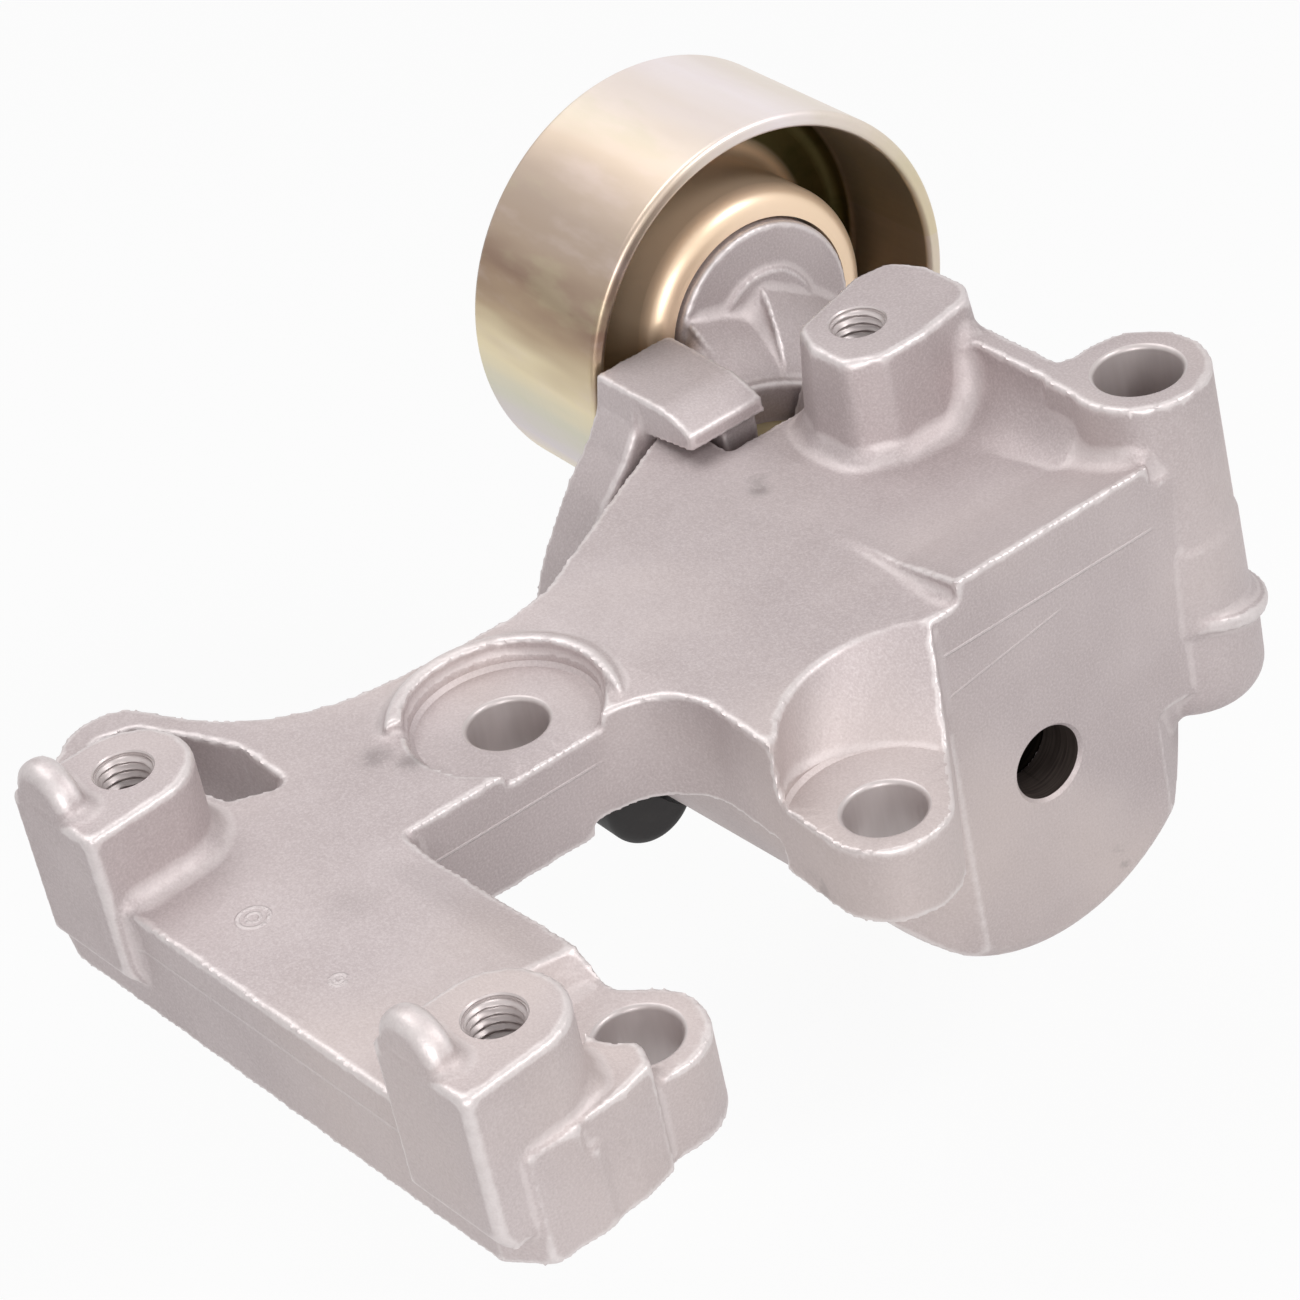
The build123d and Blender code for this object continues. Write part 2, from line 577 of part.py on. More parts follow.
def ridge():
    """Standing ridge between the two high bosses, with a hollow sweep down to the plate."""
    x_a = TAP_3[0] + 6
    x_b = HOLE_4[0] - 3
    back = RIDGE_FRONT_Y + RIDGE_THICKNESS
    sweep_end = RIDGE_FRONT_Y - RIDGE_SWEEP_R
    sunk = PLATE_TOP - DECK / 2
    section = make_face([
        Polyline((0, sweep_end, PLATE_TOP), (0, sweep_end, sunk), (0, back, sunk), (0, back, HOLE_4_TOP),
                 (0, RIDGE_FRONT_Y, HOLE_4_TOP), (0, RIDGE_FRONT_Y, PLATE_TOP + RIDGE_SWEEP_R)),
        ThreePointArc((0, RIDGE_FRONT_Y, PLATE_TOP + RIDGE_SWEEP_R),
                      (0, RIDGE_FRONT_Y - RIDGE_SWEEP_R * (1 - cos(radians(45))),
                       PLATE_TOP + RIDGE_SWEEP_R * (1 - sin(radians(45)))),
                      (0, sweep_end, PLATE_TOP)),
    ])
    wall = Pos(x_a, 0, 0) * extrude(section, amount=x_b - x_a, dir=(1, 0, 0))
    front = RIDGE_FRONT_Y - 6
    skirt = [(front, WEB_BOTTOM), (back, WEB_BOTTOM), (back, PLATE_TOP), (front, PLATE_TOP)]
    return wall + block_x(skirt, NOTCH_X, x_b)


def seat_scoop():
    """Leaning wall behind the second bolt's seat, widening from the cutter's circle to the plate."""
    over = SCOOP_OVERRUN / (PLATE_TOP - HOLE_2_SEAT)
    low_r = HOLE_2_CUTTER_R - SCOOP_STEP
    high = [HOLE_2_SCOOP[k] + (HOLE_2_SCOOP[k] - HOLE_2[k]) * over for k in (0, 1)]
    high_r = HOLE_2_SCOOP_R + (HOLE_2_SCOOP_R - low_r) * over
    start = Pos(HOLE_2[0], HOLE_2[1], HOLE_2_SEAT + SCOOP_STEP / 2) * Circle(low_r)
    end = Pos(high[0], high[1], PLATE_TOP + SCOOP_OVERRUN) * Circle(high_r)
    return loft([start, end])


def finger_window():
    """Window through the drum's mouth in which the arm's finger swings between its two stops."""
    web_left = angle_at(FINGER_RIGHT - FINGER_WEB, CAVITY_R) + STOP_CLEARANCE
    web_right = angle_at(FINGER_RIGHT, CAVITY_R) - ARM_TRAVEL - STOP_CLEARANCE * 2
    return sector(CAVITY_R - 1, DRUM_BACK_R + 6, DRUM_END_X - 1, WINDOW_END_X, web_right, web_left)


def angle_at(y, radius):
    """Angle from +Y of a point above the pivot at this Y and radius."""
    return Vector(1, 0, 0).get_angle(Vector(y, (radius ** 2 - y ** 2) ** 0.5, 0))


def make_bracket():
    """One casting: leg, web, plate, bosses, ridge, flange and spring drum, with its machined holes."""
    body = deck() - leg_pockets() - web_pockets() - plate_pockets()
    body += upright(HOLE_1_BOSS_R, LEG_BOTTOM, HOLE_1_SEAT, HOLE_1)
    body += upright(HOLE_2_BOSS_R, HOLE_2_BOTTOM, HOLE_2_SEAT, HOLE_2)
    body += hole_1_rim()
    body += end_boss()
    body -= rim_window()
    for place in (TAP_1, TAP_2):
        body += tapped_boss(place, TAP_BOSS_FOOT)
        body += upright(TAP_BOSS_R - 0.3, LEG_BOTTOM, TAP_TOP - 4, place)
    body += plate_boss()
    body += ridge()
    body += tall_boss()
    body += drum_outside()
    body += flange()
    body -= upright(HOLE_2_CUTTER_R, HOLE_2_SEAT, PLATE_TOP + 12, HOLE_2)
    body -= seat_scoop()
    body -= along_x(CAVITY_R, DRUM_END_X - 1, -END_WALL)
    body += tube_x(SHAFT_BOSS_R, SHAFT_R, SHAFT_SEAT_X, -END_WALL + 0.5)
    body -= along_x(SHAFT_R, SHAFT_SEAT_X - 1, -END_WALL)
    body -= finger_window()
    recess = upright(HOLE_1_RECESS_R, HOLE_1_SEAT, PLATE_TOP + 5, HOLE_1)
    body -= recess
    body -= bolt_hole(BOLT_R, HOLE_1, HOLE_1_SEAT, LEG_BOTTOM, BOLT_EDGE_R)
    body -= bolt_hole(BOLT_R, HOLE_2, HOLE_2_SEAT, HOLE_2_BOTTOM, BOLT_EDGE_R)
    body -= bolt_hole(HOLE_4_R, HOLE_4, HOLE_4_TOP, HOLE_4_BOTTOM, BOLT_EDGE_R)
    body -= bolt_hole(BOLT_R, HOLE_5, HOLE_5_SEAT, LEG_BOTTOM, BOLT_EDGE_R)
    for place in (TAP_1, TAP_2):
        body -= tapped_hole(place, TAP_TOP, TAP_DEPTH)
    body -= tapped_hole(TAP_3, TAP_3_TOP, TAP_3_DEPTH)
    body -= along_x(PIVOT_BORE_R, -END_WALL - 1, 1)
    mouth = Rot(0, 90, 0) * Cone(PIVOT_BORE_R, PIVOT_BORE_R + BORE_CHAMFER, BORE_CHAMFER)
    return body - Pos(-BORE_CHAMFER / 2, 0, 0) * mouth


def make_pivot_shaft():
    """Steel tube seated in the drum's end wall, headed over at the arm's end."""
    head_end = SHAFT_HEAD_X - SHAFT_HEAD
    return turned([(-END_WALL, SHAFT_BORE_R), (-END_WALL, SHAFT_R), (SHAFT_HEAD_X, SHAFT_R),
                   (SHAFT_HEAD_X, SHAFT_HEAD_R), (head_end + 0.6, SHAFT_HEAD_R),
                   (head_end, SHAFT_HEAD_R - 0.6), (head_end, SHAFT_BORE_R)])


def make_bush(front_x):
    """Plain bush pressed into the arm's sleeve and running on the shaft."""
    return tube_x(BUSH_R, SHAFT_R + RUNNING_FIT, front_x - BUSH_LENGTH, front_x)


def make_washer(front_x):
    """Thrust washer round the shaft."""
    return tube_x(SLEEVE_R - 1.0, SHAFT_R + 0.3, front_x - WASHER, front_x)


def make_spring():
    """Flat-wire torsion spring coiled round the arm's sleeve, seated on the cup at the closed end."""
    start = -END_WALL - SPRING_SEAT_WALL - SPRING_SEAT_GAP - SPRING_WIRE_AXIAL / 2
    end = SKIRT_END_X + SPRING_END_GAP + SPRING_WIRE_AXIAL / 2
    helix = Helix((start - end) / SPRING_TURNS, start - end, SPRING_R)
    across = Plane(origin=helix @ 0, z_dir=helix % 0, x_dir=(1, 0, 0))
    wire = across * Rectangle(SPRING_WIRE_RADIAL, SPRING_WIRE_AXIAL)
    coil = sweep(wire, path=helix, is_frenet=True)
    return Pos(start, 0, 0) * Rot(0, -90, 0) * coil


def make_spring_seat():
    """Plastic cup between the spring and the drum's end wall."""
    inner = SHAFT_BOSS_R + 0.3
    outer = CAVITY_R - 0.3
    lip_x = -END_WALL - SPRING_SEAT_WALL - SPRING_SEAT_LIP
    return turned([(-END_WALL, inner), (-END_WALL, outer), (lip_x, outer), (lip_x, outer - 1.6),
                   (-END_WALL - SPRING_SEAT_WALL, outer - 1.6), (-END_WALL - SPRING_SEAT_WALL, inner)])


def make_damping_ring():
    """Split friction band between the arm's skirt and the drum's bore, open where the finger passes."""
    outer = CAVITY_R - DAMPER_GAP
    left = angle_at(FINGER_RIGHT - FINGER_WEB, SKIRT_R) + 4
    right = angle_at(FINGER_RIGHT, SKIRT_R) - 4
    return sector(SKIRT_R, outer, HUB_FRONT_X + 0.4, SKIRT_END_X, left, right + 360)


def make_dust_seal():
    """Felt-like ring that closes the gap between the drum's mouth and the arm."""
    inner = CAVITY_R + SEAL_STEP
    left = angle_at(FINGER_LEFT, inner) + 6
    right = angle_at(FINGER_RIGHT, inner) - ARM_TRAVEL - 6
    return sector(inner, inner + SEAL_WALL, HUB_FRONT_X + 0.1, DRUM_END_X, left, right + 360)


def hub():
    """Round hub of the arm with its outline rising to the finger's root."""
    body = along_x(HUB_R, HUB_BACK_X, HUB_FRONT_X)
    swelling = [hub_point(141, 0), hub_point(129, 1.1), hub_point(118, 2.5), hub_point(110.5, 5.5)]
    finger_root = [(FINGER_LEFT, FINGER_TOP), (FINGER_RIGHT, FINGER_TOP), (FINGER_RIGHT + 5, HUB_R - 1.5)]
    body += block_x(swelling + finger_root + [(0, HUB_R / 3)], HUB_BACK_X, HUB_FRONT_X)
    return fillet(body.edges().group_by(Axis.X)[-1], 1.0)


def hub_point(angle, proud):
    """Point in Y and Z at an angle from +Y, this far outside the hub's round."""
    radius = HUB_R + proud
    return (radius * cos(radians(angle)), radius * sin(radians(angle)))


def finger():
    """Stop finger over the drum's mouth with a thin bent tip, and the web that swings in the window."""
    bend = FINGER_END_X - FINGER_BEND
    tip = FINGER_TOP - FINGER_TIP_DROP
    middle = (FINGER_END_X - FINGER_BEND * 0.4, FINGER_TOP - FINGER_TIP_DROP * 0.25)
    back = HUB_BACK_X + 0.4
    side = make_face([
        Polyline((back, 0, FINGER_UNDER), (back, 0, FINGER_TOP), (bend, 0, FINGER_TOP)),
        ThreePointArc((bend, 0, FINGER_TOP), (middle[0], 0, middle[1]), (FINGER_END_X, 0, tip)),
        Polyline((FINGER_END_X, 0, tip), (FINGER_END_X, 0, FINGER_UNDER + FINGER_TIP_LIFT),
                 (HUB_FRONT_X, 0, FINGER_UNDER), (back, 0, FINGER_UNDER)),
    ])
    top = Pos(0, FINGER_LEFT, 0) * extrude(side, amount=FINGER_RIGHT - FINGER_LEFT, dir=(0, 1, 0))
    web_left = FINGER_RIGHT - FINGER_WEB
    low = SKIRT_R - SKIRT_WALL / 2
    high = FINGER_UNDER + FINGER_TIP_LIFT
    web = [(web_left, low), (FINGER_RIGHT, low), (FINGER_RIGHT, high), (web_left, high)]
    return top + block_x(web, HUB_FRONT_X - 1, FINGER_END_X - 2.4)


def neck():
    """Rounded shoulder from the hub to the pulley boss, kept inside the pulley's mouth."""
    body = shoulder(NECK_R, NECK_FROM, NECK_TO) + shoulder(SHOULDER_R, NECK_FROM, SHOULDER_TO)
    return body & along_x(PULLEY_R - PULLEY_WALL - 6, NECK_BACK_X, 0, PULLEY_AXIS)


def shoulder(radius, angle_a, angle_b):
    """Part of a rounded ring about the pivot, from the hub's edge out to a radius at the pulley boss."""
    front = HUB_FRONT_X - 1.5
    crest = BOSS_FACE_X + NECK_PROUD
    rise = radius - HUB_R
    low = HUB_R - 8
    profile = make_face([
        Polyline((front, low), (front, HUB_R)),
        ThreePointArc((front, HUB_R), (crest + 0.36 * (front - crest), HUB_R + 0.72 * rise), (crest, radius)),
        Polyline((crest, radius), (NECK_BACK_X, radius), (NECK_BACK_X, low), (front, low)),
    ])
    return Rot(angle_a, 0, 0) * revolve(profile, axis=Axis.X, revolution_arc=angle_b - angle_a)


def pulley_boss():
    """Round boss that carries the bearing: a wide disc, a step for the inner ring and a tapped spigot."""
    disc = along_x(BOSS_R, BOSS_BACK_X, BOSS_FACE_X, PULLEY_AXIS)
    disc = fillet(disc.edges().group_by(Axis.X)[-1], 0.6)
    disc += along_x(BOSS_PAD_R, BOSS_FACE_X - 1, BOSS_FACE_X + BOSS_PAD, PULLEY_AXIS)
    step = along_x(RACE_INNER_R - 0.6, RACE_X, BOSS_FACE_X - 1, PULLEY_AXIS)
    spigot = along_x(BEARING_BORE_R - SPIGOT_FIT, RACE_BACK_X + 0.6, RACE_X + 1, PULLEY_AXIS)
    bore = along_x(BOLT_SHANK_R + BOLT_TAP_GAP, RACE_BACK_X, BOSS_BACK_X - 0.5, PULLEY_AXIS)
    return disc + step + spigot - bore


def lug():
    """Short lug on the hub that carries the rubber buffer."""
    half = LUG_WIDTH / 2
    shape = [(HUB_R - 4, -half), (LUG_R, -half), (LUG_R, half), (HUB_R - 4, half)]
    return Rot(LUG_ANGLE, 0, 0) * block_x(shape, HUB_BACK_X + 1.4, HUB_FRONT_X - 1.0)


def make_arm():
    """One casting: hub, finger, skirt, sleeve, neck and pulley boss."""
    body = hub() + finger() + lug() + neck() + pulley_boss()
    body += tube_x(SLEEVE_R, BUSH_R, SLEEVE_FRONT_X, HUB_FRONT_X - 1)
    body += tube_x(SKIRT_R, SKIRT_R - SKIRT_WALL, HUB_FRONT_X - 1, SKIRT_END_X)
    body -= along_x(BUSH_R, HUB_BACK_X - 1, SLEEVE_FRONT_X + 1)
    return body - along_x(SHAFT_HEAD_R + 0.4, HUB_BACK_X - 1, REAR_POCKET_X)


def make_buffer():
    """Black rubber buffer pushed over the arm's lug, with a rounded end beside the drum."""
    centre = (BUFFER_CENTRE_R * cos(radians(LUG_ANGLE)), BUFFER_CENTRE_R * sin(radians(LUG_ANGLE)))
    back = HUB_BACK_X + 0.4
    body = along_x(BUFFER_R, back, back + BUFFER_LENGTH, centre)
    body = fillet(body.edges(), 2.2)
    body -= along_x(DRUM_BACK_R + BUFFER_CLEARANCE, HUB_FRONT_X - 0.4, 0)
    body -= along_x(HUB_R + 0.02, HUB_BACK_X - 1, HUB_FRONT_X)
    return body - lug()


def make_pulley():
    """Pressed pulley: smooth rim with rolled edges, web and bearing seat in one turned section."""
    back = PULLEY_FRONT_X - PULLEY_WIDTH
    web = PULLEY_FRONT_X - PULLEY_WEB_SETBACK
    lip = PULLEY_FRONT_X - PULLEY_LIP_SETBACK
    inner = PULLEY_R - PULLEY_WALL
    seat = BEARING_R + PULLEY_WALL
    section = polygon([(PULLEY_FRONT_X, inner), (PULLEY_FRONT_X, PULLEY_R), (back, PULLEY_R), (back, inner),
                       (web - PULLEY_WALL, inner), (web - PULLEY_WALL, BEARING_R), (RACE_X, BEARING_R),
                       (RACE_X, PULLEY_LIP_BORE_R), (lip, PULLEY_LIP_BORE_R), (lip, seat), (web, seat),
                       (web, inner)])
    section = fillet(corners_at(section, PULLEY_FRONT_X) + corners_at(section, back), PULLEY_ROLL_R)
    section = fillet(corners_at(section, web), PULLEY_BEND_R)
    nose = [v for v in corners_at(section, lip) if v.Y > BEARING_R]
    section = fillet(nose, PULLEY_LIP_EDGE_R)
    shell = Pos(0, *PULLEY_AXIS) * revolve(section, axis=Axis.X)
    groove_back = RACE_BACK_X - SNAP_RING - 0.1
    return shell - tube_x(BEARING_R + SNAP_GROOVE, BEARING_R - 1, groove_back, RACE_BACK_X, PULLEY_AXIS)


def corners_at(section, x):
    """Corners of a flat section that lie at this place along X."""
    return [v for v in section.vertices() if abs(v.X - x) < 0.01]


def race_groove():
    """Ring-shaped space for the balls between the two rings."""
    return Pos(BALL_X, *PULLEY_AXIS) * Rot(0, 90, 0) * Torus(BALL_PITCH_R, BALL_R + RACE_GAP)


def make_outer_ring():
    """Outer ring of the bearing with its groove."""
    ring = tube_x(BEARING_R, RACE_OUTER_R, RACE_BACK_X, RACE_X, PULLEY_AXIS)
    return ring - race_groove()


def make_inner_ring():
    """Inner ring of the bearing with its groove."""
    ring = tube_x(RACE_INNER_R, BEARING_BORE_R, RACE_BACK_X, RACE_X, PULLEY_AXIS)
    return ring - race_groove()


def ball_places():
    """Middle of each ball round the pulley axis."""
    places = []
    for k in range(BALL_COUNT):
        angle = radians(360 / BALL_COUNT * k)
        y = PULLEY_AXIS[0] + BALL_PITCH_R * cos(angle)
        z = PULLEY_AXIS[1] + BALL_PITCH_R * sin(angle)
        places.append((BALL_X, y, z))
    return places


def make_balls():
    """The bearing's balls as separate solids in one node."""
    return Compound([Pos(*place) * Sphere(BALL_R) for place in ball_places()])


def make_cage():
    """Ring with a round pocket for each ball."""
    outer = BALL_PITCH_R + CAGE_WALL / 2
    ring = tube_x(outer, outer - CAGE_WALL, BALL_X - CAGE_LENGTH / 2, BALL_X + CAGE_LENGTH / 2, PULLEY_AXIS)
    for place in ball_places():
        ring -= Pos(*place) * Sphere(BALL_R + CAGE_GAP)
    return ring


def make_seal(outer_x):
    """Thin seal set in the outer ring and clear of the inner ring."""
    return tube_x(RACE_OUTER_R, RACE_INNER_R + 0.1, outer_x - SHIELD_THICKNESS, outer_x, PULLEY_AXIS)


def make_snap_ring():
    """Split ring in the groove behind the bearing."""
    outer = BEARING_R + SNAP_GROOVE - 0.1
    ring = tube_x(outer, BEARING_R - 1.6, RACE_BACK_X - SNAP_RING, RACE_BACK_X, PULLEY_AXIS)
    gap = Pos(RACE_BACK_X, PULLEY_AXIS[0], PULLEY_AXIS[1] + BEARING_R) * Box(6, 5, 8)
    return ring - gap


def make_dust_shield():
    """Dished washer clamped on the inner ring, covering the bearing from behind."""
    face = RACE_BACK_X
    wall = DUST_SHIELD_WALL
    drop = SHIELD_BACK
    return turned([(face, BOLT_SHANK_R + 0.2), (face, RACE_INNER_R - 0.6), (face - drop, RACE_INNER_R + 3.2),
                   (face - drop, DUST_SHIELD_R), (face - drop - wall, DUST_SHIELD_R),
                   (face - drop - wall, RACE_INNER_R + 2.6), (face - wall, RACE_INNER_R - 1.3),
                   (face - wall, BOLT_SHANK_R + 0.2)], PULLEY_AXIS)


def make_bolt():
    """Flanged hexagon bolt that clamps the inner ring on the spigot."""
    seat = RACE_BACK_X - DUST_SHIELD_WALL
    shank = along_x(BOLT_SHANK_R, seat, BOSS_BACK_X - 2.5, PULLEY_AXIS)
    collar = along_x(BOLT_FLANGE_R, seat - BOLT_FLANGE, seat, PULLEY_AXIS)
    across = BOLT_HEAD_FLATS / 2 / cos(radians(30))
    hexagon = extrude(RegularPolygon(across, 6), amount=BOLT_HEAD)
    head = Pos(seat - BOLT_FLANGE - BOLT_HEAD, *PULLEY_AXIS) * Rot(0, 90, 0) * hexagon
    crown = along_x(across, seat - BOLT_FLANGE - BOLT_HEAD, seat - BOLT_FLANGE, PULLEY_AXIS)
    crown = chamfer(crown.edges().group_by(Axis.X)[0], 1.0)
    return shank + collar + (head & crown)


def main():
    """Writes every piece to its own file."""
    os.makedirs("parts", exist_ok=True)
    pieces = {
        "bracket": make_bracket(),
        "pivot_shaft": make_pivot_shaft(),
        "shaft_bush_front": make_bush(SLEEVE_FRONT_X),
        "shaft_bush_rear": make_bush(REAR_POCKET_X + BUSH_LENGTH),
        "thrust_washer_front": make_washer(SHAFT_SEAT_X - WASHER_GAP),
        "thrust_washer_rear": make_washer(REAR_POCKET_X - WASHER_GAP),
        "torsion_spring": make_spring(),
        "spring_seat": make_spring_seat(),
        "damping_ring": make_damping_ring(),
        "dust_seal": make_dust_seal(),
        "tensioner_arm": make_arm(),
        "stop_buffer": make_buffer(),
        "pulley_shell": make_pulley(),
        "bearing_outer_ring": make_outer_ring(),
        "bearing_inner_ring": make_inner_ring(),
        "bearing_balls": make_balls(),
        "bearing_cage": make_cage(),
        "bearing_seal_front": make_seal(RACE_X - 0.3),
        "bearing_seal_rear": make_seal(RACE_BACK_X + SHIELD_THICKNESS + 0.3),
        "bearing_snap_ring": make_snap_ring(),
        "dust_shield": make_dust_shield(),
        "pulley_bolt": make_bolt(),
    }
    for name, solid in pieces.items():
        export_step(solid, "parts/" + name + ".step")


main()
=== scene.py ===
import math

import bpy
import numpy as np
from mathutils import Euler, Matrix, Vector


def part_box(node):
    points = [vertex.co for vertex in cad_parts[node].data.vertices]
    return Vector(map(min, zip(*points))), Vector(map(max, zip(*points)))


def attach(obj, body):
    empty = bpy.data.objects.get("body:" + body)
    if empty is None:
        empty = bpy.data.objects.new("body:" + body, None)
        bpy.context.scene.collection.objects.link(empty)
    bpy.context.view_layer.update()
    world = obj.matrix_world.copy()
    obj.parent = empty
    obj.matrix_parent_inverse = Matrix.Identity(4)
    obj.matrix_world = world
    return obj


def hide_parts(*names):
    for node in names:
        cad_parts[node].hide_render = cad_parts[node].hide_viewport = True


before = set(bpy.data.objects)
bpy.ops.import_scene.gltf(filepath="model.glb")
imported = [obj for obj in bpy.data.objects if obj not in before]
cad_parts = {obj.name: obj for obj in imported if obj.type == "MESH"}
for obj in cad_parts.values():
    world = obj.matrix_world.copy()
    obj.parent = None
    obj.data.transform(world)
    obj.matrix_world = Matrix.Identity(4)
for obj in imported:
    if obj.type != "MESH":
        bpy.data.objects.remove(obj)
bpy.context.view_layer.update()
MM = 0.001
TURN = 2 * math.pi

# Holes as the solids have them, in millimetres: name, middle, radius, top and bottom
PIVOT_BORE_R = 5.5
END_WALL = 8.0
HOLES = [
    ("leg_bolt_hole", (-31.2, -63.2), 5.5, 29.4, 14.0),
    ("side_bolt_hole", (15.4, -37.8), 5.5, 23.1, 11.3),
    ("end_bolt_hole", (30.3, -88.4), 5.5, 26.6, 14.0),
    ("tall_bolt_hole", (-9.5, 31.8), 6.1, 43.6, -9.5),
]

# Tapped holes: name, middle, top and depth
RIGHT_TAP = (32.6, -107.5)
TAPS = [
    ("left_thread", (-45.308, -111.283), 43.6, 19.0),
    ("right_thread", RIGHT_TAP, 43.6, 19.0),
    ("plate_thread", (-44.5, 11.8), 48.3, 14.5),
]
TAP_R = 3.325
THREAD_R = 4.0
THREAD_PITCH = 1.25

# Bolt seats: name, middle, radius and level
SEATS = [
    ("leg_seat", (-31.2, -63.2), 13.1, 29.4),
    ("side_seat", (15.4, -37.8), 13.3, 23.1),
]

# Plugs and cutters: how far they overlap the metal, stand proud of it or reach past it
NEAR_AXIS = 0.001
PROUD = 0.01
PLUG_RAISE = 0.3
PLUG_OVERLAP = 1.6
TAP_PLUG_OVERLAP = 1.2
TAP_PLUG_DEEPER = 3.0
PIVOT_PLUG_OVERLAP = 2.0
REACH_ABOVE = 3.0
REACH_BELOW = 1.0
SEAT_REACH = 9.0
PIVOT_REACH = (5.0, 2.0)

# Edges of the cut places
MOUTH_R = 0.8
MOUTH_STEPS = 7
SEAT_BEVEL = 0.6
PIVOT_CHAMFER = 0.5
TAP_CHAMFER = 0.2
DRILL_POINT = 1.9

# Castings: remesh size, fillet, easing passes and about how many triangles are kept
BRACKET_CAST = (0.5, 1.9, 12, 185000)
ARM_CAST = (0.45, 1.5, 8, 150000)
FILLING_VOXEL = 0.8
FILLING_DEPTH = 0.3
CALM_PASSES = 5
ASKEW = Euler((0.55, 0.4, 0.7)).to_matrix().to_4x4()

# Easing: share of the way to the neighbours' mean, share of the way back, and passes that even the bend
EASE_OUT = 0.5
EASE_BACK = 0.53
BEND_PASSES = 3

# The leg's turn in degrees, and where its top falls: across and along from the right tapped hole, and levels
LEG_TURN = 2.78
LEG_DROP = 0.9
LEG_FALL_ACROSS = (15.5, 23.2)
LEG_BACK_EDGE = 27
LEG_FALL_BEGINS = (-51, -43)
LEG_FALL_ENDS = (-12, -4)
LEG_TOP_FROM = (28.0, 30.2)
LEG_TOP_TO = (31.4, 32.0)

# Round foundry marks on the leg: middle and radius
STAMPS = [((-21.2, -110.1, 31.2), 2.1), ((-2.2, -109.7, 31.2), 1.1)]

# Darker patches on the casting: middle, reach and strength
DARK_PATCHES = [
    ((-36.8, -80.4, 31.4), 3.6, 0.55), ((-32.2, -77.9, 31.3), 3.4, 0.6), ((-30.0, -75.6, 31.2), 2.6, 0.45),
    ((-43.0, -10.1, 32.7), 2.6, 0.6), ((-45.5, -8.6, 32.7), 2.0, 0.35), ((-14.0, -100.0, 31.2), 6.0, 0.12),
]

# Pulley: its axis in millimetres, and in metres the radii between which the colour changes
PULLEY_AXIS = (19.5, 31.1)
# The dish inside the rim gets painted shade, and the lip within it gets a painted highlight
RIM_INSIDE = (0.0296, 0.0302)
LIP_OUTSIDE = (0.0212, 0.0236)

# Camera, solved from the photograph, in metres
CAMERA_LENS = 126.36
CAMERA_SIDE = (0.59522, 0.78352, -0.17833)
CAMERA_UP = (-0.37111, 0.46488, 0.80384)
CAMERA_BACK = (0.71273, -0.41228, 0.56749)
CAMERA_PLACE = (0.405216, -0.292025, 0.375183)

# Lamps: name, place in metres, side length and watts
LAMPS = [
    ("key", (-0.35, -0.1, 0.75), 0.5, 2.2),
    ("side", (0.76, -0.52, 0.32), 0.5, 4.0),
    ("glint", (0.5, 0.38, 0.66), 0.22, 2.6),
]
LAMP_AIM = (0, -0.03, 0.02)
SKY_LIGHT = 0.23
FLOOR_HALF = 3.0
FLOOR_LEVEL = -0.062
FLOOR_GREY = 0.86
FLOOR_WHITE = 0.93


class Value:
    """A shader value. Adding, scaling or comparing it builds the Math node that does so."""

    def __init__(self, nodes, socket):
        self.nodes = nodes
        self.socket = socket

    def math(self, operation, *others):
        return self.nodes.node("ShaderNodeMath", {"operation": operation}, [self, *others])

    def __add__(self, other):
        return self.math("ADD", other)

    def __sub__(self, other):
        return self.math("SUBTRACT", other)

    def __rsub__(self, other):
        return self.nodes.node("ShaderNodeMath", {"operation": "SUBTRACT"}, [other, self])

    def __mul__(self, other):
        return self.math("MULTIPLY", other)

    __radd__ = __add__
    __rmul__ = __mul__

    def step(self, low, high):
        """Smooth step of this value from 0 at low to 1 at high."""
        return self.nodes.node("ShaderNodeMapRange", {"interpolation_type": "SMOOTHSTEP"},
                               [self, low, high, 0.0, 1.0])

    def between(self, rise, fall):
        """Smooth step up over the first stretch and down again over the second."""
        return self.step(*rise) * (1.0 - self.step(*fall))


class Nodes:
    """A node tree, to which one method adds every node."""

    def __init__(self, tree):
        self.tree = tree

    def node(self, kind, settings=None, inputs=(), out=0):
        """Adds a node, sets its settings and stops, then the values or links of its sockets."""
        made = self.tree.nodes.new(kind)
        for key, value in (settings or {}).items():
            if key == "stops":
                ramp = made.color_ramp.elements
                while len(ramp) < len(value):
                    ramp.new(0.5)
                for element, (position, colour) in zip(ramp, value):
                    element.position = position
                    element.color = (*colour, 1.0)
            else:
                setattr(made, key, value)
        pairs = inputs.items() if isinstance(inputs, dict) else enumerate(inputs)
        for key, value in pairs:
            if isinstance(value, Value):
                self.tree.links.new(value.socket, made.inputs[key])
            else:
                made.inputs[key].default_value = value
        return Value(self, made.outputs[out])

    def white_to_the_eye(self, lit, white_kind, share, output):
        """Leads a lit shader to the output, mixed with white for camera, glossy and transmission rays."""
        camera, glossy, through = [self.node("ShaderNodeLightPath", out=f"Is {ray} Ray")
                                   for ray in ("Camera", "Glossy", "Transmission")]
        seen = camera.math("MAXIMUM", glossy).math("MAXIMUM", through)
        white = self.node(white_kind, {}, {"Color": (1, 1, 1, 1), "Strength": 1.0})
        mixed = self.node("ShaderNodeMixShader", {}, [seen * share, Value(self, lit.outputs[0]), white])
        self.tree.links.new(mixed.socket, self.tree.nodes[output].inputs["Surface"])


